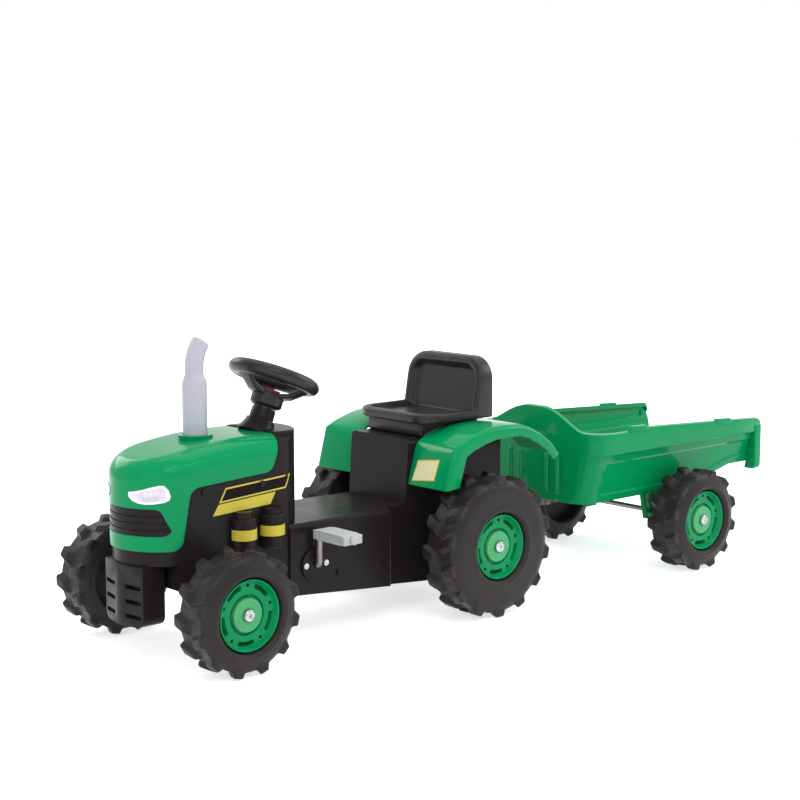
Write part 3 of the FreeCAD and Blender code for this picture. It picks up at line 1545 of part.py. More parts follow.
for bolt_x in (s.bolt_front_x, s.bolt_rear_x):
    bar_ways.append(rod("z", (bolt_x, 0, bar_low - s.overrun), s.bolt_r + s.running_gap,
                        s.drawbar_t + 2 * s.overrun))
    floor_ways.append(rod("z", (bolt_x, 0, s.tub_floor_z - s.overrun), s.bolt_r + s.running_gap,
                          s.tub_wall + 2 * s.overrun))
    floor_ways.append(taper(bolt_x, sink_z, s.bolt_r + s.running_gap, sink))
    drawbar_bolts.append(fuse(
        rod("z", (bolt_x, 0, bar_low), s.bolt_r, sink_z - bar_low),
        taper(bolt_x, sink_z, s.bolt_r, sink - s.loose_gap),
        rod("z", (bolt_x, 0, bar_low - s.bolt_head_t), s.bolt_head_r, s.bolt_head_t),
    ))
bar = fuse(
    box((s.drawbar_rear_x, -s.drawbar_half, bar_low), (s.hitch_x, s.drawbar_half, s.tub_floor_z)),
    rod("z", (s.hitch_x, 0, bar_low), s.drawbar_half, s.drawbar_t),
)
node("trailer_drawbar", cut(bar, *bar_ways))
node("drawbar_bolts", group(*drawbar_bolts))


# Trailer tub: one moulding with flared sides, a humped headboard and an open, rising tail

def tub_form(inset):
    floor_z = s.tub_floor_z + inset
    waist_z = s.tub_waist_z + inset
    top_z = s.tub_front_rail_z + (s.overrun if inset else 0)
    one_side = [
        (s.tub_floor_half - inset, floor_z),
        (s.tub_waist_half - inset, waist_z),
        (tub_rail_half - inset, waist_z),
        (tub_rail_half - inset, top_z),
    ]
    section = one_side + [(-y, z) for y, z in reversed(one_side)]
    rear = s.tub_rear_x - (s.overrun if inset else 0)
    body = new_body()
    slab(body, "YZ_Plane", section, rear, s.tub_front_x - inset)
    far_y = tub_rail_half + s.overrun
    past = rear - s.overrun
    tail = [
        (s.tub_tail_x, floor_z),
        (s.tub_tail_low_x, s.tub_tail_z + inset),
        (past, s.tub_tail_z + inset),
        (past, floor_z - s.overrun),
        (s.tub_tail_x, floor_z - s.overrun),
    ]
    cutout(body, "XZ_Plane", tail, -far_y, far_y)
    if not inset:
        ahead = s.tub_front_x + s.overrun
        slope = [
            (ahead, s.tub_front_rail_z),
            (ahead, s.tub_front_rail_z + s.overrun),
            (past, s.tub_front_rail_z + s.overrun),
            (past, s.tub_rear_rail_z),
        ]
        cutout(body, "XZ_Plane", slope, -far_y, far_y)
    return body


tub_shell = cut(tub_form(0), tub_form(s.tub_wall))
headboard = new_body()
hump_rise = s.head_hump_z - s.tub_front_rail_z
hump_run = s.head_foot_half - s.head_hump_half
s_curve = []
for y_share, z_share in hump_shares:
    s_curve.append((s.head_foot_half - hump_run * y_share, s.tub_front_rail_z + hump_rise * z_share))
brim_z = s.tub_front_rail_z - s.tub_wall
left_brim = [(tub_rail_half, brim_z), (tub_rail_half, s.tub_front_rail_z),
             (s.head_foot_half, s.tub_front_rail_z)]
right_brim = [(-y, z) for y, z in reversed(left_brim)]
back_curve = [(-y, z) for y, z in reversed(s_curve)]
slab(headboard, "YZ_Plane", left_brim + [
    Bow(s_curve[0], s_curve[1]),
    Bow(s_curve[2], s_curve[3]),
    back_curve[0],
    Bow(back_curve[1], back_curve[2]),
    Bow(back_curve[3], right_brim[0]),
] + right_brim[1:], s.tub_front_x - s.tub_wall, s.tub_front_x)
tub_parts = [tub_shell, headboard]
lug_ways = []
axle_z = s.small_tyre_r
flare = (s.tub_waist_half - s.tub_floor_half) / (s.tub_waist_z - s.tub_floor_z)
wall_mid = s.tub_wall / 2
post = new_body()
slab(post, "YZ_Plane", [
    (tub_rail_half, s.tub_post_low_z),
    (tub_rail_half, s.tub_rear_rail_z),
    (tub_rail_half - wall_mid, s.tub_rear_rail_z),
    (tub_rail_half - wall_mid, s.tub_waist_z + wall_mid),
    (s.tub_waist_half - wall_mid, s.tub_waist_z + wall_mid),
    (s.tub_floor_half + (s.tub_post_low_z - s.tub_floor_z) * flare - wall_mid, s.tub_post_low_z),
], s.tub_rear_x, s.tub_rear_x + s.tub_post_l)
tub_parts += [post, mirrored(post)]
for side in (-1, 1):
    lug_y = s.lug_y * side
    tub_parts.append(box((s.trailer_axle_x - s.lug_half, lug_y - s.lug_t / 2, axle_z - s.lug_below),
                         (s.trailer_axle_x + s.lug_half, lug_y + s.lug_t / 2, s.tub_floor_z)))
    for rib_y in (s.rib_in_y, s.rib_out_y):
        tub_parts.append(box((s.tub_front_x, rib_y * side - s.rib_t / 2, s.tub_floor_z + s.rib_lift),
                             (s.tub_front_x + s.rib_proud, rib_y * side + s.rib_t / 2, s.tub_waist_z)))
axle_way = across(s.trailer_axle_x, axle_z, s.small_axle_r + s.running_gap, s.lug_y + s.lug_t)
node("trailer_tub", cut(fuse(*tub_parts), axle_way, *floor_ways))
trailer_inner_y = trailer_track - s.small_tyre_w - s.loose_gap
trailer_collar = rod("y", (s.trailer_axle_x, trailer_inner_y - s.collar_l, axle_z), s.collar_r, s.collar_l)
node("trailer_axle", fuse(
    across(s.trailer_axle_x, axle_z, s.small_axle_r, trailer_track + axle_end_proud),
    trailer_collar, mirrored(trailer_collar)))

# Every piece is sound before anything is written
doc.recompute()
faulty = [thing.Name for thing in doc.Objects if {"Invalid", "Error"} & set(thing.State)]
if faulty:
    raise RuntimeError(f"failed: {faulty}")
for name, thing in nodes.items():
    if thing.Shape.isNull() or not thing.Shape.isValid():
        raise RuntimeError(f"{name} is not a sound solid")
os.makedirs("parts", exist_ok=True)
for name, thing in nodes.items():
    thing.Shape.exportStep(f"parts/{name}.step")
print(len(nodes), "pieces written")
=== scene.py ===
# %% [markdown]
# # A child's pedal tractor with its trailer
# The tractor is a set of hollow plastic mouldings on steel rods: a green bonnet, mudguards and
# trailer tub, a black chassis, and six blow-moulded wheels. The solids come from the CAD frame, and
# this lesson gives them their looks. Some mouldings are modelled again here, because their soft
# edges are easier to make with Blender's own tools, and the rest keep their solids.

# %% Load the frame
import json
import math

import bmesh
import bpy
from mathutils import Matrix, Vector


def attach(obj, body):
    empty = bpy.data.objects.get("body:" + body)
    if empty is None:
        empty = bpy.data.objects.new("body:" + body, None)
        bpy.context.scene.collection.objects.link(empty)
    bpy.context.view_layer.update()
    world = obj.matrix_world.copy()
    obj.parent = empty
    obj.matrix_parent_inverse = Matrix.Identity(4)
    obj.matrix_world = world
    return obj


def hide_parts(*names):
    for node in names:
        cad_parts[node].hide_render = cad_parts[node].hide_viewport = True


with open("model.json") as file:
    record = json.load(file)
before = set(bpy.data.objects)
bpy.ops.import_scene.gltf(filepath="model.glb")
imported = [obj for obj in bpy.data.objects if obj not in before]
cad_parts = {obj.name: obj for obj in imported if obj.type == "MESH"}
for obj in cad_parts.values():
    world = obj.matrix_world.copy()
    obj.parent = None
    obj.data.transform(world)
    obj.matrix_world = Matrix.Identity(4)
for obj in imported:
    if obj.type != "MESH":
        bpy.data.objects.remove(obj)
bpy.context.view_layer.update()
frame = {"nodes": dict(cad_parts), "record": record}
nodes = frame["nodes"]

# %% [markdown]
# The camera stands where the photographer stood: in front of the tractor's left side, a little above
# the bonnet. A long lens far away keeps the wheels nearly the same size. Its place could be guessed by
# eye, but it was worked out from the wheels' ground points, so that the outlines can be compared.

# %% Camera
camera_spot, camera_aim = (2.1171, 2.2314, 0.7722), (0.2169, 0.1113, 0.3837)


def stand(name, data, spot, aim):
    """Puts a camera or a lamp at a spot and turns it towards another."""
    item = bpy.data.objects.new(name, data)
    bpy.context.scene.collection.objects.link(item)
    item.location = spot
    item.rotation_euler = (Vector(aim) - Vector(spot)).to_track_quat("-Z", "Y").to_euler()
    return item


camera_data = bpy.data.cameras.new("photographer")
camera_data.lens = 76.98
camera_data.sensor_width = 36
camera_data.sensor_fit = "HORIZONTAL"
camera_data.clip_end = 50
bpy.context.scene.camera = stand("photographer", camera_data, camera_spot, camera_aim)
bpy.context.scene.view_settings.view_transform = "Standard"
print("camera distance", round(math.dist(camera_spot, camera_aim), 3))

# %% [markdown]
# The photograph has a white studio round the tractor, with light from above and from the front left.
# A lit white room could do that, but it would wash the colours out. So the world shows white only to the
# camera and to reflections, and large soft lamps light the object at a plain level.

# %% Studio light
white, sky, sky_strength = (1, 1, 1, 1), (0.93, 0.96, 1.0, 1), 0.82
lamps = {
    "key_lamp": ((1.6, 2.4, 2.6), (0.1, 0, 0.25), (1.8, 1.4), 27),
    "top_lamp": ((-0.3, -0.2, 2.9), (0, 0, 0.2), (2.6, 1.6), 22),
    "front_lamp": ((2.7, 0.9, 1.1), (-0.2, 0, 0.25), (1.6, 1.2), 5),
    "rear_lamp": ((-2.2, 1.2, 1.7), (-0.2, 0, 0.25), (1.4, 1.2), 22),
    "far_lamp": ((0.6, -2.6, 1.7), (0.1, 0, 0.25), (1.8, 1.2), 20),
}


def add_node(tree, kind, **values):
    """Adds a shader node and sets some of its inputs."""
    node = tree.nodes.new(f"ShaderNode{kind}")
    for name, value in values.items():
        node.inputs[name].default_value = value
    return node


def mix_by_ray(tree, lit, seen):
    """Mixes two shaders: one for all light, and one that the camera, gloss and glass see."""
    rays = add_node(tree, "LightPath")
    share = rays.outputs["Is Camera Ray"]
    for name in ("Is Glossy Ray", "Is Transmission Ray"):
        either = add_node(tree, "Math")
        either.operation = "MAXIMUM"
        tree.links.new(share, either.inputs[0])
        tree.links.new(rays.outputs[name], either.inputs[1])
        share = either.outputs[0]
    mix = add_node(tree, "MixShader")
    for source, end in zip((share, lit.outputs[0], seen.outputs[0]), mix.inputs):
        tree.links.new(source, end)
    return mix.outputs[0]


world = bpy.data.worlds.new("studio")
bpy.context.scene.world = world
world.use_nodes = True
tree = world.node_tree
tree.nodes.clear()
felt = add_node(tree, "Background", Color=sky, Strength=sky_strength)
seen = add_node(tree, "Background", Color=white, Strength=1.0)
tree.links.new(mix_by_ray(tree, felt, seen), add_node(tree, "OutputWorld").inputs["Surface"])
for name, (spot, aim, size, power) in lamps.items():
    lamp_data = bpy.data.lights.new(name, "AREA")
    lamp_data.shape = "RECTANGLE"
    lamp_data.size, lamp_data.size_y = size
    lamp_data.energy = power
    stand(name, lamp_data, spot, aim)
print("lamps", len(lamps))

# %% [markdown]
# The floor is one wide pale sheet. It shows white to the camera, as the studio's paper does, and keeps
# a soft shadow under the wheels. A shadow catcher would need render settings, so the shadow comes from
# an ordinary pale surface mixed with plain white, which grows with the distance from the tractor.

# %% Floor
floor_size, floor_drop = 24, 0.0004
paper_grey, paper_rough = (0.9, 0.9, 0.9, 1), 0.85
glow_reach, glow_strength = (0.7, 2.4), (0.66, 1.0)


def map_range(tree, value, *ends):
    """Maps one span of values onto another: from low, from high, to low, to high."""
    names = ("From Min", "From Max", "To Min", "To Max")
    node = add_node(tree, "MapRange", **dict(zip(names, ends)))
    tree.links.new(value, node.inputs["Value"])
    return node.outputs["Result"]


bpy.ops.object.select_all(action="DESELECT")
bpy.ops.mesh.primitive_plane_add(size=floor_size, location=(0, 0, -floor_drop))
floor = bpy.context.object
floor.name = "studio_floor"
paper = bpy.data.materials.new("studio_paper")
paper.use_nodes = True
tree = paper.node_tree
sheet = tree.nodes["Principled BSDF"]
sheet.inputs["Base Color"].default_value = paper_grey
sheet.inputs["Roughness"].default_value = paper_rough
reach = add_node(tree, "VectorMath")
reach.operation = "LENGTH"
tree.links.new(add_node(tree, "TexCoord").outputs["Object"], reach.inputs[0])
glow = add_node(tree, "Emission")
tree.links.new(map_range(tree, reach.outputs["Value"], *glow_reach, *glow_strength), glow.inputs["Strength"])
both = add_node(tree, "AddShader")
tree.links.new(sheet.outputs[0], both.inputs[0])
tree.links.new(glow.outputs[0], both.inputs[1])
tree.links.new(mix_by_ray(tree, sheet, both), tree.nodes["Material Output"].inputs["Surface"])
floor.data.materials.append(paper)
print("floor", floor.name)

# %% [markdown]
# The mouldings are coloured all through, so a single paint would look too clean. Every plastic gets the
# same build: a base colour that drifts a little, a roughness that drifts with it, and a fine bump from
# the mould's surface. Dust near the ground could be painted by hand, but a ramp on the height does it.

# %% Plastic finishes
drift_scale, gloss_scale, wave_scale, wave_share = 7, 23, 16, 4
gloss_drop, gloss_gain, coat_ior = 0.06, 0.08, 1.18
dust_colour, dust_top, dust_scale = (150, 138, 124), 0.16, 60


def linear(red, green, blue):
    """A colour as it is read off a screen, from 0 to 255, made linear."""
    shares = [value / 255 for value in (red, green, blue)]
    return tuple(v / 12.92 if v <= 0.04045 else ((v + 0.055) / 1.055) ** 2.4 for v in shares) + (1,)


class Finish:
    """A material and short ways to add its nodes."""

    def __init__(self, name):
        self.material = bpy.data.materials.new(name)
        self.material.use_nodes = True
        self.tree = self.material.node_tree
        self.face = self.tree.nodes["Principled BSDF"]
        self.spot = add_node(self.tree, "TexCoord").outputs["Object"]

    def join(self, source, end):
        self.tree.links.new(source, end)

    def noise(self, scale, detail=3, rough=0.55):
        node = add_node(self.tree, "TexNoise", Scale=scale, Detail=detail, Roughness=rough)
        self.join(self.spot, node.inputs["Vector"])
        return node.outputs["Fac"]

    def ramp(self, value, *stops):
        """Colours a value between two stops, each a place and a colour."""
        node = add_node(self.tree, "ValToRGB")
        for stop, (place, colour) in zip(node.color_ramp.elements, stops):
            stop.position = place
            stop.color = colour
        self.join(value, node.inputs["Fac"])
        return node.outputs["Color"]

    def dusty(self, tint, dust):
        """Lays dust over a colour, thickest at the ground."""
        height = add_node(self.tree, "SeparateXYZ")
        self.join(self.spot, height.inputs[0])
        share = add_node(self.tree, "Math")
        share.operation = "MULTIPLY"
        self.join(map_range(self.tree, height.outputs["Z"], 0.0, dust_top, dust, 0.0), share.inputs[0])
        self.join(self.noise(dust_scale, 5, 0.7), share.inputs[1])
        mix = add_node(self.tree, "Mix")
        mix.data_type = "RGBA"
        self.join(share.outputs[0], mix.inputs["Factor"])
        self.join(tint, mix.inputs["A"])
        mix.inputs["B"].default_value = linear(*dust_colour)
        return mix.outputs["Result"]

    def bump(self, *layers):
        """Adds bumps, each a value with its depth in metres."""
        below = None
        for value, depth in layers:
            node = add_node(self.tree, "Bump", Distance=depth)
            self.join(value, node.inputs["Height"])
            if below is not None:
                self.join(below, node.inputs["Normal"])
            below = node.outputs["Normal"]
        self.join(below, self.face.inputs["Normal"])

    def dress(self, values):
        """Sets the surface's inputs to plain values or to what nodes give."""
        for name, value in values.items():
            if isinstance(value, bpy.types.NodeSocket):
                self.join(value, self.face.inputs[name])
            else:
                self.face.inputs[name].default_value = value
        return self.material


def moulded(name, colour, rough, drift=0.1, grain=420, grain_depth=0.00004, dust=0.0, coat=0.0,
            coat_rough=0.07, shine=0.25):
    """Moulded plastic: drifting colour and gloss, mould grain, and dust towards the ground."""
    finish = Finish(name)
    dark, bright = (tuple(min(1, channel * share) for channel in linear(*colour)[:3]) + (1,)
                    for share in (1 - drift, 1 + drift))
    tint = finish.ramp(finish.noise(drift_scale, 4), (0.3, dark), (0.72, bright))
    if dust:
        tint = finish.dusty(tint, dust)
    gloss = map_range(finish.tree, finish.noise(gloss_scale, 5, 0.6), 0.3, 0.7, rough - gloss_drop,
                      rough + gloss_gain)
    finish.bump((finish.noise(grain, 2), grain_depth),
                (finish.noise(wave_scale, 2), grain_depth * wave_share))
    return finish.dress({"Base Color": tint, "Roughness": gloss, "Specular IOR Level": shine,
                         "Coat Weight": coat, "Coat Roughness": coat_rough, "Coat IOR": coat_ior})


green = moulded("green_moulding", (0, 145, 86), 0.3, drift=0.03, grain=700, grain_depth=0.0000012, coat=1.0,
                shine=0.02)
matt_green = moulded("green_inside", (0, 140, 78), 0.6, drift=0.04, grain_depth=0.000004, shine=0.02)
# A darker green for the hubs' pocket floors: painted shade in the recesses.
hub_painted_shade = moulded("hub_pocket", (0, 84, 46), 0.4, drift=0.05, grain_depth=0.000004, shine=0.1)
boss_green = moulded("boss_moulding", (76, 172, 110), 0.34, drift=0.05, grain=700, grain_depth=0.000006)
black = moulded("black_moulding", (34, 29, 30), 0.34, drift=0.08, grain_depth=0.00001, dust=0.04, coat=0.5,
                coat_rough=0.26, shine=0.05)
tyre_black = moulded("tyre_moulding", (40, 35, 36), 0.44, drift=0.12, grain=300, grain_depth=0.00003,
                     dust=0.08, shine=0.18)
seat_black = moulded("seat_moulding", (36, 32, 32), 0.34, drift=0.08, grain_depth=0.00001, shine=0.3)
silver = moulded("silver_moulding", (187, 184, 194), 0.36, drift=0.05, grain=500, grain_depth=0.00002)
grey = moulded("pedal_moulding", (184, 187, 184), 0.5, drift=0.08, dust=0.1)
bearing_white = moulded("bearing_moulding", (206, 204, 198), 0.45, drift=0.05)
horn_red = moulded("horn_moulding", (168, 28, 26), 0.3, drift=0.06, coat=0.3)
soft_rubber = moulded("squeaker_rubber", (34, 33, 33), 0.7, drift=0.15)
print("materials", len(bpy.data.materials))

# %% [markdown]
# The rods, pins and screws are plain steel with a bright zinc coat. Brushed lines would run along each
# rod, but at this size the zinc's cloudy patches show more, so those are what this finish has. The lamps
# are clear plastic over white. Every solid of the frame then gets the finish of its slot.

# %% Zinc-plated steel, lamps and the frame's own solids
cloud_scale, zinc_rough, zinc_grain, zinc_grain_depth = 90, (0.24, 0.42), 800, 0.00001
lamp_cloud, lamp_grain, lamp_grain_depth, lamp_rough, lamp_coat = 46, 260, 0.00004, 0.14, 0.3


def plated(name, dark, bright):
    """Plated steel, cloudy between two tones."""
    finish = Finish(name)
    cloud = finish.noise(cloud_scale, 5, 0.65)
    finish.bump((finish.noise(zinc_grain, 2), zinc_grain_depth))
    return finish.dress({"Base Color": finish.ramp(cloud, (0.3, linear(*dark)), (0.7, linear(*bright))),
                         "Metallic": 1.0, "Roughness": map_range(finish.tree, cloud, 0.3, 0.7, *zinc_rough)})


def lamp_plastic(name, dark, bright):
    """Glossy clear plastic over a white backing."""
    finish = Finish(name)
    tint = finish.ramp(finish.noise(lamp_cloud), (0.34, linear(*dark)), (0.66, linear(*bright)))
    finish.bump((finish.noise(lamp_grain, 1), lamp_grain_depth))
    return finish.dress({"Base Color": tint, "Roughness": lamp_rough, "Coat Weight": lamp_coat})


zinc = plated("zinc_plate", (150, 152, 156), (208, 209, 210))
dull_zinc = plated("dull_zinc", (112, 107, 104), (154, 148, 144))
lens = lamp_plastic("lamp_lens", (206, 196, 212), (238, 234, 240))
lamp_white = lamp_plastic("lamp_rim", (238, 240, 242), (247, 248, 248))
slot_finishes = {
    "green_plastic": green, "black_plastic": black, "tyre_plastic": tyre_black, "silver_plastic": silver,
    "lamp_plastic": lens, "grey_plastic": grey, "bush_plastic": bearing_white, "red_plastic": horn_red,
    "soft_rubber": soft_rubber, "steel": zinc,
}
own_finishes = {"seat": seat_black, "body_screws": black, "crank_shaft": dull_zinc,
                "trailer_axle": dull_zinc, "trailer_drawbar": dull_zinc}
for part in frame["record"]["subparts"]:
    solid = nodes[part["node"]].data
    solid.materials.clear()
    solid.materials.append(own_finishes.get(part["node"], slot_finishes[part["material_slot"]]))
print("dressed nodes", len(nodes))

# %% [markdown]
# The moulded pieces are shaped as by hand: a primitive, then edit mode. With no mouse, faces and edges
# have to be chosen in code, so these helpers start a piece and select by a test on an element.

# %% Starting and selecting
facing, square_on, nearby, hair = 0.9, 0.95, 0.001, 1e-5


def let_go():
    """Leaves edit mode and selects nothing."""
    if bpy.context.object and bpy.context.object.mode != "OBJECT":
        bpy.ops.object.mode_set(mode="OBJECT")
    bpy.ops.object.select_all(action="DESELECT")


def take(piece):
    let_go()
    piece.select_set(True)
    bpy.context.view_layer.objects.active = piece


def settle(piece):
    """Writes a piece's place, turn and scale into its mesh."""
    take(piece)
    bpy.ops.object.transform_apply(location=True, rotation=True, scale=True)


def start(kind, name, scale=(1, 1, 1), **values):
    """Adds a primitive with a name, settled."""
    let_go()
    getattr(bpy.ops.mesh, f"primitive_{kind}_add")(**values)
    piece = bpy.context.object
    piece.name = name
    piece.scale = scale
    settle(piece)
    return piece


def drum(name, radius, low, high, sides, axis="Z", x=0, y=0, **values):
    """A cylinder between two places on an upright axis, or on one along Y."""
    spot, turn = (x, y, (low + high) / 2), (0, 0, 0)
    if axis == "Y":
        spot, turn = (0, (low + high) / 2, 0), (math.pi / 2, 0, 0)
    return start("cylinder", name, vertices=sides, radius=radius, depth=high - low, location=spot,
                 rotation=turn, **values)


def block(name, low, high):
    """A block between two corners, as the start of a piece."""
    return start("cube", name, scale=[b - a for a, b in zip(low, high)], size=1,
                 location=[(a + b) / 2 for a, b in zip(low, high)])


def open_up(piece):
    """Starts editing a piece, with nothing selected."""
    take(piece)
    bpy.ops.object.mode_set(mode="EDIT")
    bpy.ops.mesh.select_all(action="DESELECT")


def open_mesh():
    return bmesh.from_edit_mesh(bpy.context.object.data)


def middle(item):
    """The middle of an edge or a face."""
    if isinstance(item, bmesh.types.BMEdge):
        return (item.verts[0].co + item.verts[1].co) / 2
    return item.calc_center_median()


def pick(kind, test):
    """Selects the corners, edges or faces of the open mesh that pass a test, and counts them."""
    bpy.ops.mesh.select_mode(type=kind)
    bpy.ops.mesh.select_all(action="DESELECT")
    mesh = open_mesh()
    items = {"VERT": mesh.verts, "EDGE": mesh.edges, "FACE": mesh.faces}[kind]
    chosen = [item for item in items if test(item)]
    for item in chosen:
        item.select_set(True)
    mesh.select_flush_mode()
    bmesh.update_edit_mesh(bpy.context.object.data)
    return len(chosen)


def pick_side(way):
    """Selects the faces that look along an axis, such as -Z."""
    sign = -1 if way[0] == "-" else 1
    return pick("FACE", lambda f: sign * f.normal["XYZ".index(way[1])] > facing)


def pick_all():
    bpy.ops.mesh.select_all(action="SELECT")


print("helpers that start and select are ready")

# %% [markdown]
# In edit mode a few tools do nearly all the work: insets, moves, rounded edges and cuts. They get short
# names here, and so do the modifiers that are applied at once.

# %% Shaping


def inset(*steps, **values):
    """Insets the chosen faces step by step, each a width and a rise."""
    for width, rise in steps:
        bpy.ops.mesh.inset(thickness=width, depth=rise, **values)


def nudge(x=0.0, y=0.0, z=0.0):
    bpy.ops.transform.translate(value=(x, y, z))


def grow(x, y, z, centre=(0, 0, 0)):
    bpy.ops.transform.resize(value=(x, y, z), center_override=centre)


def draw_edges(x=0.0, y=0.0, z=0.0):
    """Draws new faces out of the chosen edges."""
    bpy.ops.mesh.extrude_edges_move(TRANSFORM_OT_translate={"value": (x, y, z)})


def draw_faces(rise):
    """Draws the chosen faces further up."""
    bpy.ops.mesh.extrude_region_move(TRANSFORM_OT_translate={"value": (0, 0, rise)})


def drop_faces():
    bpy.ops.mesh.delete(type="FACE")


def number_faces(chosen, others):
    """Gives the chosen faces the number of one finish, and the others that of another."""
    for face in open_mesh().faces:
        face.material_index = chosen if face.select else others


def round_off(width, segments, kind="EDGES"):
    bpy.ops.mesh.bevel(offset=width, segments=segments, affect=kind)


def slice_at(axis, *levels):
    """Adds rings of edges where planes across an axis meet the open mesh."""
    way = Vector([float(axis == name) for name in "XYZ"])
    for level in levels:
        pick_all()
        bpy.ops.mesh.bisect(plane_co=way * level, plane_no=way)


def clip(spot, way):
    """Cuts off what lies beyond a plane."""
    pick_all()
    bpy.ops.mesh.bisect(plane_co=spot, plane_no=way, clear_outer=True)


def face_out(looks_in):
    """Turns the open mesh's faces alike, and over if a test says that they look inwards."""
    pick_all()
    bpy.ops.mesh.normals_make_consistent(inside=False)
    mesh = open_mesh()
    if looks_in(mesh.faces):
        bpy.ops.mesh.flip_normals()


def keep_modifier(piece, kind, **values):
    """Adds a modifier and applies it."""
    take(piece)
    modifier = piece.modifiers.new(kind.lower(), kind)
    for name, value in values.items():
        setattr(modifier, name, value)
    bpy.ops.object.modifier_apply(modifier=modifier.name)


def thicken(piece, wall, offset=-1, **values):
    keep_modifier(piece, "SOLIDIFY", thickness=wall, offset=offset, **values)


def soften(piece, width, segments=3, angle=30):
    keep_modifier(piece, "BEVEL", width=width, segments=segments, limit_method="ANGLE",
                  angle_limit=math.radians(angle))


def cut_with(piece, tools):
    """Cuts a list of pieces out of another, and throws them away."""
    cutter = join_all(tools, "cutter")
    keep_modifier(piece, "BOOLEAN", operation="DIFFERENCE", object=cutter, solver="EXACT")
    bpy.data.objects.remove(cutter)


def tidy_normals(piece):
    """Merges doubles and turns every face outwards."""
    open_up(piece)
    pick_all()
    bpy.ops.mesh.remove_doubles(threshold=0.00002)
    bpy.ops.mesh.normals_make_consistent(inside=False)
    let_go()


print("helpers that shape are ready")

# %% [markdown]
# A finished piece has its place in its mesh, so that its origin stays at the frame's origin. It is then
# closed with its shading, its finishes and the body that carries it, and the solids it stands for are
# hidden.

# %% Copying and closing


def twin_of(piece, name):
    """A copy with its own mesh."""
    twin = piece.copy()
    twin.data = piece.data.copy()
    twin.name = name
    bpy.context.scene.collection.objects.link(twin)
    return twin


def shift(piece, x=0.0, y=0.0, z=0.0):
    """Moves a piece's mesh, and leaves its origin where it is."""
    piece.data.transform(Matrix.Translation((x, y, z)))


def mirror_over(piece, name):
    """The same piece on the other side of the tractor, with its faces turned outwards again."""
    twin = twin_of(piece, name)
    twin.data.transform(Matrix.Scale(-1, 4, (0, 1, 0)))
    open_up(twin)
    pick_all()
    bpy.ops.mesh.flip_normals()
    let_go()
    return twin


def join_all(pieces, name):
    take(pieces[0])
    for piece in pieces[1:]:
        piece.select_set(True)
    bpy.ops.object.join()
    pieces[0].name = name
    return pieces[0]


def paint(piece, finishes):
    """Gives a piece one finish, or several for its numbered faces."""
    for finish in finishes if isinstance(finishes, tuple) else (finishes,):
        if finish.name not in piece.data.materials:
            piece.data.materials.append(finish)


def close_up(piece, body, finishes, slot, *stands_for, angle=35):
    """Finishes a piece: shading, materials, body and the solids it stands for, which are hidden. The slot is
    not used.
    """
    settle(piece)
    bpy.ops.object.shade_smooth_by_angle(angle=math.radians(angle))
    paint(piece, finishes)
    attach(piece, body)
    if stands_for:
        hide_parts(*stands_for)
    print(piece.name, "faces", len(piece.data.polygons))


def close_sides(piece, finishes, slot, angle=35):
    """Finishes a piece on the tractor's left, and a mirrored one on its right."""
    for item in (piece, mirror_over(piece, piece.name.replace("left", "right"))):
        solid = item.name.removesuffix("_moulding")
        close_up(item, "tractor", finishes, slot, *[name for name in (solid,) if name in nodes], angle=angle)


print("helpers that copy and close are ready")

# %% [markdown]
# The tyres are blow-moulded shells. Slanted lugs stand on the tread, wrap over the shoulder and are as
# soft at their edges as everything blown into a mould. They could be drawn as one profile and turned,
# but a turned tyre has no lugs. So half a tyre starts as a ring of faces, the lug faces are inset and
# raised, a twist slants them, and a mirrored half turned by half a pitch closes the tyre.

# %% Small and large tyre
steps_per_lug = 8
lug_rise, lug_draft, lug_share = 0.0085, 0.004, 0.55
lug_slant = math.radians(-8)
tread_shares = (0.1, 0.4, 0.7)
seam_half, seam_share = 0.0008, 1.008
shoulder_drop, wall_rise = 0.0105, 0.0005
shoulder_steps = ((0.0042, 0.0034), (0.006, 0.0032), (0.007, 0.0022))
ridge_steps = ((0.0018, 0.0013), (0.0018, -0.0007), (0.0016, 0.0))
bead_steps = ((0.0018, -0.0008), (0.0024, -0.003), (0.0016, -0.0036))
bead_r, bead_floor, bead_lean, bead_gap = 0.0582, 0.03, 0.0003, 0.0005
bore_r, bore_lean = 0.0143, 0.0001


def out_from_axle(spot):
    return math.hypot(spot.x, spot.z)


def half_tyre(name, radius, half, lugs):
    """One side of a tyre about the Y axis, from its middle plane outwards."""
    core, deep = radius - lug_rise, half - shoulder_drop
    piece = drum(name, core, 0, deep, lugs * steps_per_lug, "Y")
    open_up(piece)
    slice_at("Y", seam_half, 2 * seam_half, *(half * share for share in tread_shares))
    pick("VERT", lambda v: v.co.y < seam_half + hair)
    grow(seam_share, 1, seam_share)
    pick_side("-Y")
    drop_faces()
    pick_side("+Y")
    flat = core - bead_r - sum(step for step, rise in shoulder_steps + ridge_steps + bead_steps)
    steps = shoulder_steps + ((flat, wall_rise),) + ridge_steps + bead_steps
    bead_drop = deep + sum(rise for step, rise in steps) + bead_gap - half + bead_floor
    inset(*steps, (bead_lean, -bead_drop), (bead_r - bore_r - bead_lean, 0), (bore_lean, bead_floor - half))
    drop_faces()
    pitch = math.tau / lugs

    def on_lug(face):
        spot = middle(face)
        turn = (math.atan2(spot.z, spot.x) % pitch) / pitch
        on_tread = spot.y > half * tread_shares[0] and out_from_axle(spot) > core - shoulder_steps[0][0]
        return on_tread and turn < lug_share

    pick("FACE", on_lug)
    inset((lug_draft, lug_rise))
    keep_modifier(piece, "SIMPLE_DEFORM", deform_method="TWIST", deform_axis="Y", angle=lug_slant)
    return piece


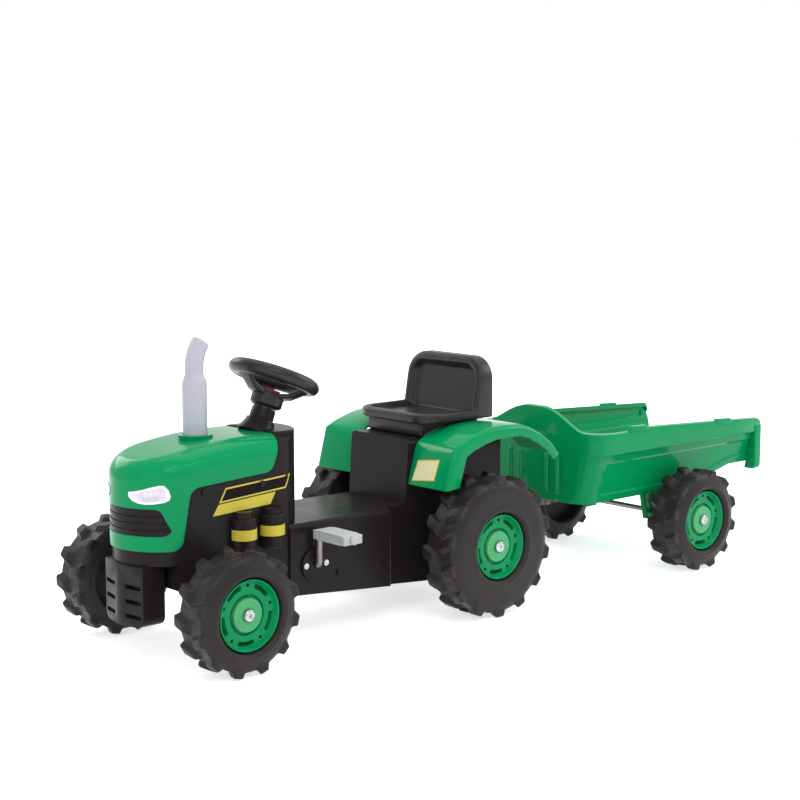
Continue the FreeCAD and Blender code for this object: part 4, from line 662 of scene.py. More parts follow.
def tyre(name, radius, half, lugs):
    """A whole tyre about the Y axis."""
    near = half_tyre(name, radius, half, lugs)
    far = mirror_over(near, name + "_far")
    far.data.transform(Matrix.Rotation(math.pi / lugs, 4, "Y"))
    piece = join_all([near, far], name)
    tidy_normals(piece)
    keep_modifier(piece, "SUBSURF", levels=2, render_levels=2)
    reach = max(out_from_axle(corner.co) for corner in piece.data.vertices)
    print(piece.name, "faces", len(piece.data.polygons), "reach", round(reach, 4))
    return piece


tyre_halves = {"small": 0.0375, "large": 0.039}
tyre_masters = {
    "small": tyre("small_tyre_master", 0.0975, tyre_halves["small"], 12),
    "large": tyre("large_tyre_master", 0.124, tyre_halves["large"], 14),
}

# %% [markdown]
# Each wheel gets its own copy of a tyre. Linked copies would share one mesh, but each copy is moved in
# its own mesh, so that the grain of the plastic turns with the wheel.

# %% Six tyres on their axles
wheel_places = {
    "front_left": ("small", 0.602, 0.1705, 0.0975, "front_left_wheel"),
    "front_right": ("small", 0.602, -0.1705, 0.0975, "front_right_wheel"),
    "rear_left": ("large", 0.066, 0.17, 0.124, "rear_left_wheel"),
    "rear_right": ("large", 0.066, -0.17, 0.124, "rear_drive"),
    "trailer_left": ("small", -0.477, 0.1855, 0.0975, "trailer_left_wheel"),
    "trailer_right": ("small", -0.477, -0.1855, 0.0975, "trailer_right_wheel"),
}
for wheel, (size, x, y, z, body) in wheel_places.items():
    copy = twin_of(tyre_masters[size], wheel + "_tyre_moulding")
    shift(copy, x, y, z)
    close_up(copy, body, tyre_black, "tyre_plastic", wheel + "_tyre", angle=50)
for master in tyre_masters.values():
    bpy.data.objects.remove(master)

# %% [markdown]
# The trailer is one thin green moulding: a flat floor, flared sides with a step under the rail, a
# headboard that rises in a hump, and a tail that climbs to an open end. A block could be hollowed out,
# but a moulding has the same wall everywhere. So it starts as a floor plate whose edges are drawn up
# level by level, and Solidify gives the sheet its wall at the end.

# %% Trailer tub: floor and walls
tub_front, tub_rear = -0.226, -0.732
length = tub_front - tub_rear
floor_half, waist_half, rail_half = 0.125, 0.147, 0.154
floor_z, waist_z, rail_z, rail_end_z = 0.145, 0.236, 0.288, 0.265
tail_start, tail_end, tail_z, tail_round, tail_turns = -0.545, -0.655, 0.176, 0.013, (22.5, 45, 67.5)
corner_r, step_h, tub_wall, hump_cuts = 0.034, 0.003, 0.004, 19
rail_dip, dip_start, dip_end = 0.008, -0.38, -0.29
dip_shares = (0, 0.25, 0.5, 0.75, 1)

tub = start("plane", "trailer_tub_moulding", scale=(length, 2 * floor_half, 1), size=1,
            location=((tub_front + tub_rear) / 2, 0, floor_z))
open_up(tub)
pick("VERT", lambda v: v.co.x > tub_front - nearby)
round_off(corner_r, 7, "VERTICES")
pick("EDGE", lambda e: middle(e).x > tub_front - 0.0005)
bpy.ops.mesh.subdivide(number_cuts=hump_cuts)


def on_rim(edge):
    """A free edge, apart from those at the open tail."""
    return edge.is_boundary and middle(edge).x > tub_rear + 0.0005


def draw_up(rise, half, new_half):
    """Draws the rim up, and widens it from one half width to another."""
    pick("EDGE", on_rim)
    draw_edges(z=rise)
    grow(1, new_half / half, 1)


draw_up(waist_z - floor_z, floor_half, waist_half)
draw_up(step_h, waist_half, rail_half)
draw_up(rail_z - waist_z - step_h, rail_half, rail_half)
slice_at("X", tail_start, tail_end, *(dip_start + (dip_end - dip_start) * share for share in dip_shares))
pick("VERT", lambda v: v.co.z < floor_z + nearby and v.co.x < tail_end + nearby)
nudge(z=tail_z - floor_z)
tail_half = floor_half + (waist_half - floor_half) * (tail_z - floor_z) / (waist_z - floor_z)
grow(1, tail_half / floor_half, 1)
clip((tub_front, 0, rail_z), Vector((rail_end_z - rail_z, 0, length)).normalized())
for turn in map(math.radians, tail_turns):
    way = Vector((-math.sin(turn), 0, math.cos(turn)))
    clip(Vector((tub_rear + tail_round, 0, rail_end_z - tail_round)) + way * tail_round, way)
let_go()
print("tub sheet", len(tub.data.polygons), "faces, tail half width", round(tail_half, 4))

# %% [markdown]
# The headboard's hump is a soft wave, high in the middle and flat at its feet. The lower side panels
# are pressed in a little, and the rim is folded over all round, which is what makes such a thin wall
# stiff. An inset does the panels, and two more draws of the rim do the fold.

# %% Trailer tub: hump, pressed panels and folded rim
hump_rise, hump_half, hump_foot, hump_power = 0.041, 0.018, 0.128, 0.85
panel_border, panel_edge, panel_sink, panel_in, panel_gap = 0.013, 0.004, 0.0028, 0.1, 0.005
lip_rise, lip_back, lip_share, lip_drop = 0.0015, 0.011, 0.938, 0.009


def wave(share, power=1.0):
    """A soft step from 0 to 1."""
    share = min(1, max(0, share)) ** power
    return share * share * (3 - 2 * share)


open_up(tub)
pick("VERT", lambda v: v.is_boundary and v.co.z > waist_z and v.co.x > dip_start)
for corner in open_mesh().verts:
    if corner.select:
        corner.co.z -= rail_dip * wave((corner.co.x - dip_start) / (dip_end - dip_start))
        if corner.co.x > tub_front - corner_r - nearby:
            share = (hump_foot - abs(corner.co.y)) / (hump_foot - hump_half)
            corner.co.z += hump_rise * wave(share, hump_power)
bmesh.update_edit_mesh(tub.data)
for side in (-1, 1):
    pick("FACE", lambda f: middle(f).y * side > panel_in and abs(f.normal.y) > square_on
         and middle(f).z < waist_z - panel_gap and middle(f).x < tub_front - corner_r)
    inset((panel_border, 0), (panel_edge, 0))
    nudge(y=-side * panel_sink)
pick("EDGE", on_rim)
draw_edges(z=lip_rise)
grow(1 - lip_back / length, lip_share, 1, (tub_rear, 0, 0))
draw_edges(z=-lip_drop)
face_out(lambda faces: min(faces, key=lambda f: middle(f).z).normal.z > 0)
thicken(tub, tub_wall, use_even_offset=True)
soften(tub, 0.0022, 3, 28)
close_up(tub, "trailer", green, "green_plastic", "trailer_tub", angle=40)

# %% [markdown]
# Some small forms belong to the same moulding: ribs on the headboard, brackets that hold the axle, the
# flange round the open tail, and flat pads on the rails. Each starts as a block. They could be drawn out
# of the tub's own faces, but blocks let into the wall give cleaner edges.

# %% Ribs, axle brackets, tail flanges and rail pads
rib_places, rib_half, rib_z, rib_x = (-0.062, -0.034, 0.034, 0.062), 0.006, (0.157, 0.238), (-0.002, 0.005)
rib_shares, rib_centre_z = (1, 0.3, 0.86), 0.2
bracket_places, bracket_half, bracket_half_x, bracket_low = (-0.08, 0.08), 0.007, 0.029, 0.082
bracket_shares, bracket_pocket, bracket_let_in = (0.52, 0.86, 1), (0.006, -0.002), 0.001
flange_y, flange_z, flange_x = (0.1285, 0.1555), (0.161, 0.252), (-0.001, 0.019)
flange_narrow, flange_round = 0.0195, 0.009
pad_places, pad_y, pad_half, pad_half_y, pad_z = (-0.352, -0.61), 0.1505, 0.026, 0.005, (-0.006, 0.005)
pad_shares, axle_x = (0.84, 0.86, 1), -0.477
rail_lean = math.atan2(rail_z - rail_end_z, length)


def tapered(name, low, high, side, shares, centre):
    """A block, open for editing, whose one side is drawn in towards a centre."""
    piece = block(name, low, high)
    open_up(piece)
    pick_side(side)
    grow(*shares, centre)
    return piece


def rib(y):
    piece = tapered("rib", (tub_front + rib_x[0], y - rib_half, rib_z[0]),
                    (tub_front + rib_x[1], y + rib_half, rib_z[1]), "+X", rib_shares,
                    (tub_front, y, rib_centre_z))
    soften(piece, 0.0012, 2)
    return piece


def bracket(y):
    piece = tapered("bracket", (axle_x - bracket_half_x, y - bracket_half, bracket_low),
                    (axle_x + bracket_half_x, y + bracket_half, floor_z + bracket_let_in), "-Z",
                    bracket_shares, (axle_x, y, bracket_low))
    pick("FACE", lambda f: abs(f.normal.y) > facing)
    inset(bracket_pocket, use_individual=True)
    soften(piece, 0.0015, 2)
    return piece


def flange(side):
    inner, outer = sorted(side * y for y in flange_y)
    piece = block("flange", (tub_rear + flange_x[0], inner, flange_z[0]),
                  (tub_rear + flange_x[1], outer, flange_z[1]))
    open_up(piece)
    pick("VERT", lambda v: abs(v.co.y) < flange_y[0] + nearby and v.co.z > flange_z[1] - nearby)
    nudge(y=side * flange_narrow)
    pick("EDGE", lambda e: all(abs(v.co.y) > flange_y[1] - nearby and v.co.z < flange_z[0] + nearby
                               for v in e.verts))
    round_off(flange_round, 4)
    soften(piece, 0.002, 3)
    return piece


def pad(side, x):
    top = rail_z - (tub_front - x) * (rail_z - rail_end_z) / length
    piece = tapered("pad", (x - pad_half, side * pad_y - pad_half_y, top + pad_z[0]),
                    (x + pad_half, side * pad_y + pad_half_y, top + pad_z[1]), "+Z", pad_shares,
                    (x, side * pad_y, top))
    let_go()
    there = Matrix.Translation((x, 0, top))
    piece.data.transform(there @ Matrix.Rotation(-rail_lean, 4, "Y") @ there.inverted())
    soften(piece, 0.0015, 3)
    return piece


for name, pieces in (("trailer_head_ribs", [rib(y) for y in rib_places]),
                     ("trailer_axle_brackets", [bracket(y) for y in bracket_places]),
                     ("trailer_tail_flanges", [flange(side) for side in (-1, 1)]),
                     ("trailer_rail_pads", [pad(side, x) for side in (-1, 1) for x in pad_places])):
    close_up(join_all(pieces, name), "trailer", green, "green_plastic")

# %% [markdown]
# A mudguard is one bent sheet: a flat front panel, a soft brow, a long arch over the wheel, and a skirt
# turned down along its outer edge. It could be carved from a block, but the sheet has the same wall
# everywhere. So one edge is drawn out along the arch, point by point, the skirt is drawn from the outer
# edge towards the wheel, and Solidify gives the wall.

# %% Mudguards
guard_in, guard_out, guard_wall = 0.0753, 0.176, 0.004
guard_path = ((0.167, 0.229), (0.148, 0.3), (0.126, 0.3105), (0.104, 0.3175), (0.082, 0.3235),
              (0.06, 0.327), (0.025, 0.3285), (-0.01, 0.327), (-0.037, 0.3185), (-0.063, 0.306),
              (-0.089, 0.289), (-0.112, 0.266))
skirt_centre, skirt_share, skirt_foot_lift = (-0.01, 0.0, 0.2), 0.835, 0.008
brow_r, brow_reach, brow_least, ridge_r = 0.013, 0.02, 0.04, 0.01
(foot_x, foot_z), (brow_x, brow_z) = guard_path[:2]

guard = start("plane", "fender_left_moulding", size=1)
open_up(guard)
for corner in open_mesh().verts:
    at_foot = corner.co.x < 0
    corner.co.y = guard_out if corner.co.y > 0 else guard_in
    corner.co.x, corner.co.z = (foot_x, foot_z) if at_foot else (brow_x, brow_z)
for (from_x, from_z), (to_x, to_z) in zip(guard_path[1:], guard_path[2:]):
    pick("EDGE", lambda e: all(abs(v.co.x - from_x) + abs(v.co.z - from_z) < hair for v in e.verts))
    draw_edges(to_x - from_x, 0, to_z - from_z)
pick("EDGE", lambda e: all(v.co.y > guard_out - hair for v in e.verts))
draw_edges()
grow(skirt_share, 1, skirt_share, skirt_centre)
pick("VERT", lambda v: v.co.z < foot_z - nearby)
nudge(z=skirt_foot_lift)
face_out(lambda faces: sum(f.normal.x for f in faces if middle(f).x > brow_x) < 0)


def on_ridge(edge):
    """The edge between the arch and its skirt."""
    return len(edge.link_faces) == 2 and all(v.co.y > guard_out - hair for v in edge.verts) and any(
        abs(f.normal.y) < 0.5 for f in edge.link_faces)


pick("EDGE", on_ridge)
round_off(ridge_r, 4)
pick("EDGE", lambda e: abs(middle(e).x - brow_x) + abs(middle(e).z - brow_z) < brow_reach
     and abs(e.verts[0].co.y - e.verts[1].co.y) > brow_least)
round_off(brow_r, 5)
let_go()
guard_finishes = (green, matt_green)
paint(guard, guard_finishes)
thicken(guard, guard_wall, use_even_offset=True, material_offset=1)
soften(guard, 0.0012, 3, 40)
close_sides(guard, guard_finishes, "green_plastic")

# %% [markdown]
# The seat is a blown bucket: a thick pan and a back with large round corners, both with a recess that
# runs from one into the other inside a raised bead. Pan and back could be two cushions, but the real one
# is a single hard moulding. So the back is drawn up out of the pan, and one inset over both makes the
# recess.

# %% Seat
seat_rear, seat_front, seat_half, seat_corner = -0.02, 0.144, 0.096, 0.04
seat_under, seat_pan, seat_top = 0.33, 0.346, 0.438
back_low, back_top = 0.022, 0.006
foot_in, foot_half, foot_low, foot_let_in = 0.012, 0.07, 0.306, 0.002
bead_insets = ((0.009, 0.0015), (0.004, 0.0), (0.004, -0.006), (0.006, -0.0045))

seat_shell = block("seat_moulding", (seat_rear, -seat_half, seat_under), (seat_front, seat_half, seat_pan))
open_up(seat_shell)
slice_at("X", back_low)
pick("FACE", lambda f: f.normal.z > facing and middle(f).x < back_low)
draw_faces(seat_top - seat_pan)
pick("EDGE", lambda e: middle(e).z > seat_top - nearby and middle(e).x > back_low - nearby)
nudge(x=back_top - back_low)
pick("EDGE", lambda e: abs(middle(e).y) > seat_half - nearby and middle(e).z > seat_top - nearby)
round_off(seat_corner, 10)
pick("EDGE", lambda e: middle(e).x > seat_front - nearby and abs(middle(e).y) > seat_half - nearby)
round_off(seat_corner, 10)
pick("FACE", lambda f: (f.normal.z > square_on and middle(f).z < seat_pan + nearby)
     or (f.normal.x > facing and middle(f).z > seat_pan and middle(f).x < seat_front - 0.01))
inset(*bead_insets)
soften(seat_shell, 0.005, 4, 50)
foot = block("foot", (seat_rear + foot_in, -foot_half, foot_low),
             (seat_front - foot_in, foot_half, seat_under + foot_let_in))
soften(foot, 0.004, 3)
seat_shell = join_all([seat_shell, foot], "seat_moulding_whole")
close_up(seat_shell, "tractor", seat_black, "black_plastic", "seat", "seat_bolts")

# %% [markdown]
# The steering wheel is a thick hollow ring with three broad, dished spokes and a hub that carries the
# horn. Under it a fluted sleeve covers the shaft and stands in a flared collar on the dash. All of it
# turns about the leaning column, so the wheel is modelled upright at the origin and then tipped onto
# the column's line.

# %% Steering wheel
column_spot, column_lean = Vector((0.397, 0.0, 0.427)), math.radians(-22.7412)
on_column = Matrix.Translation(column_spot) @ Matrix.Rotation(column_lean, 4, "Y")
ring_r, ring_tube, ring_share = 0.065, 0.0128, 0.96
hub_r, hub_top, hub_low, hub_edge, hub_step = 0.027, -0.026, -0.048, 0.005, 0.004
horn_r, horn_well = 0.0183, 0.016
sleeve_r, sleeve_low, sleeve_wall = 0.0192, -0.0535, 0.008
spoke_half, spoke_t, spoke_flare_share = 0.0125, 0.008, 0.35
spoke_root, spoke_top, spoke_power = hub_r - 0.006, hub_top - 0.001, 1.3
spoke_shares = (0.25, 0.5, 0.75)

ring = start("torus", "ring", scale=(1, 1, ring_share), major_radius=ring_r, minor_radius=ring_tube,
             major_segments=72, minor_segments=20)
wheel_hub = drum("wheel_hub", hub_r, hub_low, hub_top, 48)
open_up(wheel_hub)
pick_side("+Z")
inset((hub_r - horn_r, 0), (0, -horn_well))
pick_side("-Z")
inset((hub_edge, hub_step), (hub_r - sleeve_r - hub_edge, 0), (0, hub_low - sleeve_low - hub_step))
pick("FACE", lambda f: f.normal.z < -0.9 and middle(f).z < sleeve_low + nearby)
inset((sleeve_wall, -hub_step))
soften(wheel_hub, 0.0015, 3)


def spoke(index):
    piece = block("spoke", (spoke_root, -spoke_half, spoke_top - spoke_t), (ring_r, spoke_half, spoke_top))
    open_up(piece)
    slice_at("X", *(hub_r + (ring_r - hub_r) * share for share in spoke_shares))
    for corner in open_mesh().verts:
        share = max(0.0, (corner.co.x - hub_r) / (ring_r - hub_r))
        corner.co.z -= hub_top * share ** spoke_power
        corner.co.y *= 1 + spoke_flare_share * (2 * share - 1) ** 2
    soften(piece, 0.0025, 3)
    piece.data.transform(Matrix.Rotation(math.tau * index / 3, 4, "Z"))
    return piece


steering_wheel = join_all([ring, wheel_hub, *map(spoke, range(3))], "steering_wheel_moulding")
steering_wheel.data.transform(on_column)
close_up(steering_wheel, "steering", seat_black, "black_plastic", "steering_wheel")

# %% [markdown]
# The collar on the dash is the bell that the sleeve stands in. It could be a plain cone, but the real one
# has a straight neck, a step and then a flared foot. A cylinder is sliced into rings, and each ring is
# widened by a listed share.

# %% Collar on the dash
collar_r, collar_wall, collar_sink = 0.0205, 0.004, 0.002
collar_shares = {-0.096: 1.62, -0.09: 1.52, -0.084: 1.36, -0.078: 1.22, -0.0735: 1.16, -0.0725: 1.0,
                 -0.0545: 0.98}
collar = drum("steering_tower_moulding", collar_r, min(collar_shares), max(collar_shares), 48)
open_up(collar)
slice_at("Z", *list(collar_shares)[1:-1])
for level, share in collar_shares.items():
    pick("VERT", lambda v: abs(v.co.z - level) < hair)
    grow(share, share, 1)
pick_side("+Z")
inset((collar_wall, -collar_sink))
soften(collar, 0.001, 2, 50)
collar.data.transform(on_column)
close_up(collar, "tractor", black, "black_plastic", "steering_tower")

# %% [markdown]
# Each wheel has a green hub, pressed into the tyre: a thin lip, a shallow dish with five pockets and five
# small holes, and a groove round the boss in the middle. A turned profile would miss the pockets. So a
# disc is inset ring by ring from the lip inwards, each ring with its own step in or out.

# %% Hub: rings of the dish
hub_sides, hub_slots = 60, 5
hub_lip_r, hub_plate, hub_inset, hub_wall = 0.0566, -0.0072, 0.008, 0.0016
ring_in_r, ring_out_r, hub_bore_r = 0.0275, 0.0308, 0.0145
groove_r, groove_level = 0.0322, hub_plate - 0.0052
pocket_in_r, pocket_mid_r, dish_r = 0.0402, 0.0452, 0.0503
lip_steps = ((0.0007, 0.0012), (0.0009, 0.0005), (0.0012, -0.0003), (0.0008, -0.0012))

hub_master = start("circle", "hub_master", vertices=hub_sides, radius=hub_lip_r, fill_type="NGON",
                   rotation=(-math.pi / 2, 0, 0))
open_up(hub_master)
pick_all()
inset(*lip_steps)
ring_now = hub_lip_r - sum(step for step, rise in lip_steps)
level_now = sum(rise for step, rise in lip_steps)
for new_r, new_level in ((dish_r, hub_plate), (pocket_mid_r, hub_plate), (pocket_in_r, hub_plate),
                         (groove_r, hub_plate), (ring_out_r, groove_level), (ring_in_r, groove_level),
                         (hub_bore_r, groove_level)):
    inset((ring_now - new_r, new_level - level_now))
    ring_now, level_now = new_r, new_level
drop_faces()
let_go()
print("hub rings", len(hub_master.data.polygons), "dish", round(level_now, 4), "bore", round(ring_now, 4))

# %% [markdown]
# The faces between two rings are now told apart by their angle. A good half of each fifth is a pocket,
# which is pressed in, and its floor gets painted shade, a darker green. A pin between two pockets then
# cuts each small round hole.

# %% Hub: pockets and holes
slot_start, slot_share, slot_angle = math.radians(108), 7 / 12, math.tau / hub_slots
pocket_border, pocket_round, pocket_lean, pocket_deep = 0.0011, 0.003, 0.0004, 0.009
hole_r, hole_out, hole_half = 0.0027, 0.0462, 0.01
end_share = pocket_border / pocket_mid_r / slot_angle
end_reach, plate_gap, mid_gap, edge_gap = (0.4, 1.8), 0.0004, 0.002, 0.0005


def fifth(spot):
    """How far round its fifth of the hub a spot lies, from 0 to 1."""
    return ((math.atan2(spot.z, spot.x) - slot_start) % slot_angle) / slot_angle


def in_pockets(spot):
    return pocket_in_r < out_from_axle(spot) < dish_r and abs(spot.y - hub_plate) < plate_gap


def slot_corner(vert):
    """A corner of a pocket's border, near one of its ends."""
    from_end = min(fifth(vert.co), abs(slot_share - fifth(vert.co))) / end_share
    out = out_from_axle(vert.co)
    on_border = pocket_in_r + edge_gap < out < dish_r - edge_gap and abs(out - pocket_mid_r) > mid_gap
    return in_pockets(vert.co) and on_border and end_reach[0] < from_end < end_reach[1]


open_up(hub_master)
pick("FACE", lambda f: in_pockets(middle(f)) and fifth(middle(f)) < slot_share)
inset((pocket_border, 0))
bpy.ops.mesh.dissolve_faces()
slot_corners = pick("VERT", slot_corner)
round_off(pocket_round, 4, "VERTICES")
pick("FACE", lambda f: len(f.verts) > 8 and in_pockets(middle(f)))
inset((pocket_lean, -pocket_deep))
# The pocket floors take the darker green, as painted shade.
number_faces(1, 0)
face_out(lambda faces: max(faces, key=lambda f: middle(f).y).normal.y < 0)
thicken(hub_master, hub_wall, use_even_offset=True)
hole_pins = []
for index in range(hub_slots):
    turn = slot_start + slot_angle * (index + (1 + slot_share) / 2)
    hole_pins.append(drum("pin", hole_r, hub_plate - hole_half, hub_plate + hole_half, 20, "Y"))
    shift(hole_pins[-1], hole_out * math.cos(turn), 0, hole_out * math.sin(turn))
cut_with(hub_master, hole_pins)
soften(hub_master, 0.0006, 2, 32)
print("pocket corners", slot_corners, "hub faces", len(hub_master.data.polygons))

# %% [markdown]
# Six copies go into the six tyres. The right-hand ones are mirrored, so that every dish faces outwards.

# %% Six hubs in their tyres


def at_wheel(master, name, wheel):
    """A copy of a hub-side piece, in its place on one wheel."""
    size, x, y, z, body = wheel_places[wheel]
    copy = mirror_over(master, name) if y < 0 else twin_of(master, name)
    shift(copy, x, y + math.copysign(tyre_halves[size] - hub_inset, y), z)
    return copy


for wheel, place in wheel_places.items():
    hub = at_wheel(hub_master, wheel + "_hub_moulding", wheel)
    close_up(hub, place[-1], (green, hub_painted_shade), "green_plastic", wheel + "_hub", angle=40)
bpy.data.objects.remove(hub_master)

# %% [markdown]
# Each head lamp is an almond of clear plastic that lies on the round nose, with a white rim and a lens
# that sits a little lower. A lens cut from a tube would have no rim, so the almond's outline is shaped
# flat, inset twice for rim and lens, sliced so that it can bend, and then laid onto the nose.

# %% Head lamps
nose_x, nose_r, nose_end_share = 0.618, 0.0885, 0.97
lamp_rim, lamp_slope, lamp_sink, lamp_back = 0.0026, 0.0008, 0.0007, 0.0012
lamp_in, lamp_slices, lamp_slice = 0.03, 12, 0.004
lamp_outline = ((27, 277), (37, 278.5), (49, 281.5), (60, 285.5), (69, 288.5), (73.5, 288), (77, 281),
                (78.5, 271), (77.5, 265), (73, 261.5), (64, 259.5), (54, 258.5), (43, 260), (33.5, 263.5),
                (28, 268.5), (26.5, 273.5))

lamp = start("circle", "headlight_left_moulding", vertices=len(lamp_outline), fill_type="NGON",
             rotation=(0, math.pi / 2, 0))
open_up(lamp)
lamp_mesh = open_mesh()
for corner, (y, z) in zip(lamp_mesh.verts, lamp_outline):
    corner.co = (0, y / 1000, z / 1000)
bmesh.update_edit_mesh(lamp.data)
face_out(lambda faces: next(iter(faces)).normal.x < 0)
bpy.ops.mesh.select_mode(type="FACE")
pick_all()
inset((lamp_rim, 0), (lamp_slope, -lamp_sink))
number_faces(0, 1)
slice_at("Y", *(lamp_in + lamp_slice * step for step in range(lamp_slices)))
let_go()
for corner in lamp.data.vertices:
    on_nose = min(abs(corner.co.y), nose_r * nose_end_share)
    corner.co.x += nose_x + math.sqrt(nose_r ** 2 - on_nose ** 2)
thicken(lamp, lamp_back)
soften(lamp, 0.0004, 2, 40)
close_sides(lamp, (lens, lamp_white), "lamp_plastic")

# %% [markdown]
# The weight block under the nose is hollow black plastic, made to look like stacked iron. Its front is
# creased down the middle, its lower corners are round, and slots are pressed into both faces. A block is
# sliced, its middle pulled forward, and the slots are cut with small blocks.

# %% Front weight block
weight_rear, weight_edge, weight_crease = 0.656, 0.696, 0.707
weight_half, weight_low, weight_top, weight_round = 0.053, 0.063, 0.16, 0.016
notch_x, notch_y, notch_half, notch_half_h = (0.6925, 0.72), 0.0312, 0.0168, 0.0034
notch_levels = (0.0795, 0.1028, 0.1261)
weight = block("front_weight_moulding", (weight_rear, -weight_half, weight_low),
               (weight_edge, weight_half, weight_top))
open_up(weight)
slice_at("Y", 0)
pick("EDGE", lambda e: middle(e).x > weight_edge - hair and all(abs(v.co.y) < hair for v in e.verts))
nudge(x=weight_crease - weight_edge)
pick("EDGE", lambda e: all(abs(v.co.y) > weight_half - hair and v.co.z < weight_low + hair
                           for v in e.verts))
round_off(weight_round, 6)
notches = []
for y in (-notch_y, notch_y):
    for z in notch_levels:
        notches.append(block("notch", (notch_x[0], y - notch_half, z - notch_half_h),
                             (notch_x[1], y + notch_half, z + notch_half_h)))
        soften(notches[-1], 0.0016, 3)
cut_with(weight, notches)
soften(weight, 0.0016, 3, 25)
close_up(weight, "tractor", black, "black_plastic", "front_weight_block")

# %% [markdown]
# The boss in the middle of each hub is a separate, paler disc that turns with the wheel, and a bright
# push cap on the axle's end holds it. Both are turned parts with soft edges: a cylinder whose outer face
# is inset step by step. The caps belong to the axles, so they don't turn with the wheels.

# %% Hub bosses and axle caps
boss_sides, axle_bore_r, bore_draft = 48, 0.0066, 0.00001
boss_r, boss_span, cap_r, cap_span = 0.0268, (-0.0122, -0.0046), 0.0098, (-0.0027, 0.0006)
boss_steps = ((0.0012, 0.0008), (0.0044, 0.0004), (0.0005, -0.0006), (0.0014, 0.0), (0.0005, 0.0006),
              (0.0062, 0.0), (0.0012, -0.0006))
cap_steps = ((0.0012, 0.0014), (0.0022, 0.0009), (0.0026, 0.0002), (0.0008, -0.0018))


def turned_plug(name, radius, low, high, steps, bore=0.0):
    """A plug about the Y axis whose outer face is stepped in rings, each a width and a rise."""
    plug = drum(name, radius, low, high, boss_sides, "Y")
    open_up(plug)
    pick_side("+Y")
    inset(*steps)
    if bore:
        top = high + sum(rise for step, rise in steps)
        inset((radius - sum(step for step, rise in steps) - bore, 0), (bore_draft, low - top))
        drop_faces()
        pick_side("-Y")
        inset((radius - bore, 0))
        drop_faces()
    tidy_normals(plug)
    soften(plug, 0.0005, 3, 25)
    return plug


boss_master = turned_plug("boss_master", boss_r, *boss_span, boss_steps, axle_bore_r)
cap_master = turned_plug("cap_master", cap_r, *cap_span, cap_steps)
for wheel, place in wheel_places.items():
    boss = at_wheel(boss_master, wheel + "_hub_boss", wheel)
    close_up(boss, place[-1], boss_green, "green_plastic")
for wheel, body in (("front_left", "left_knuckle"), ("front_right", "right_knuckle")):
    cap = at_wheel(cap_master, wheel + "_push_cap", wheel)
    close_up(cap, body, zinc, "steel", wheel + "_axle_cap")
for axle, body in (("rear", "rear_drive"), ("trailer", "trailer")):
    pair = [at_wheel(cap_master, "cap", f"{axle}_{side}") for side in ("left", "right")]
    close_up(join_all(pair, axle + "_push_caps"), body, zinc, "steel", axle + "_axle_caps")
for master in (boss_master, cap_master):
    bpy.data.objects.remove(master)

# %% [markdown]
# The crank carries a pedal on each side, half a turn apart. The pedals are grey blocks with fine ribs
# for grip and rounded edges. A block is sliced across, the ribs are inset and raised, and the other pedal
# is a copy. Small caps hold them, and a dark ring round the crank where it leaves the body is painted shade.

# %% Pedals, their caps and the crank's painted shade rings
crank_x, crank_z, pedal_z, far_pedal_z = 0.384, 0.124, 0.18, 0.068
pedal_half_x, pedal_half_z, rib_edge_shares = 0.019, 0.0085, (0.2, 0.4, 0.6, 0.8)
pedal_in, pedal_out, pedal_end = 0.107, 0.186, 0.009
rib_draft, rib_rise, groove_in = 0.0013, 0.0012, 0.002
core_half_z = pedal_half_z - rib_rise
pedal_cap_r, pedal_cap_span, pedal_cap_steps = 0.0074, (0.1863, 0.1895), ((0.0012, 0.0012), (0.003, 0.0006))
shade_ring_r, shade_ring_span, shade_ring_steps = 0.0125, (0.0911, 0.0914), ((0.001, 0.0002),)


def both_sides(piece, name, drop=0.0):
    """A piece and its mirrored copy, which may lie lower, as one."""
    far = mirror_over(piece, name + "_far")
    shift(far, z=-drop)
    return join_all([piece, far], name)


pedal_cap = turned_plug("pedal_cap", pedal_cap_r, *pedal_cap_span, pedal_cap_steps)
shift(pedal_cap, crank_x, 0, pedal_z)
pedal_caps = both_sides(pedal_cap, "pedal_push_caps", pedal_z - far_pedal_z)
close_up(pedal_caps, "crank", grey, "steel", "pedal_caps")
# A dark matt ring round the crank where it leaves the body, on both sides: painted shade for the bearing's
# mouth.
crank_seal = turned_plug("crank_seal", shade_ring_r, *shade_ring_span, shade_ring_steps, axle_bore_r)
shift(crank_seal, crank_x, 0, crank_z)
close_up(both_sides(crank_seal, "crank_seals"), "tractor", soft_rubber, "soft_rubber")

pedal = block("pedal_left_moulding", (crank_x - pedal_half_x, pedal_in, pedal_z - core_half_z),
              (crank_x + pedal_half_x, pedal_out, pedal_z + core_half_z))
open_up(pedal)
slice_at("X", *(crank_x + pedal_half_x * (2 * share - 1) for share in rib_edge_shares))
slice_at("Y", pedal_in + pedal_end, pedal_out - pedal_end)
for axis, width, rise in (("z", rib_draft, rib_rise), ("x", groove_in, -rib_rise)):
    pick("FACE", lambda f: abs(getattr(f.normal, axis)) > facing
         and pedal_in + pedal_end < middle(f).y < pedal_out - pedal_end)
    inset((width, rise), use_individual=True)
soften(pedal, 0.0007, 2, 25)
far_pedal = mirror_over(pedal, "pedal_right_moulding")
shift(far_pedal, z=far_pedal_z - pedal_z)
close_up(pedal, "left_pedal", grey, "grey_plastic", "pedal_left")
close_up(far_pedal, "right_pedal", grey, "grey_plastic", "pedal_right")

# %% [markdown]
# Plain labels lie on the dark side panels and on a mudguard: a black strip with a yellow border, a
# yellow band below it, a pale yellow label on the left guard and yellow rings round the canisters. They
# are kept free of lettering. A label is a thin film, so each is a plate with its own border, laid onto
# the surface behind it by rays, so that it follows every curve.

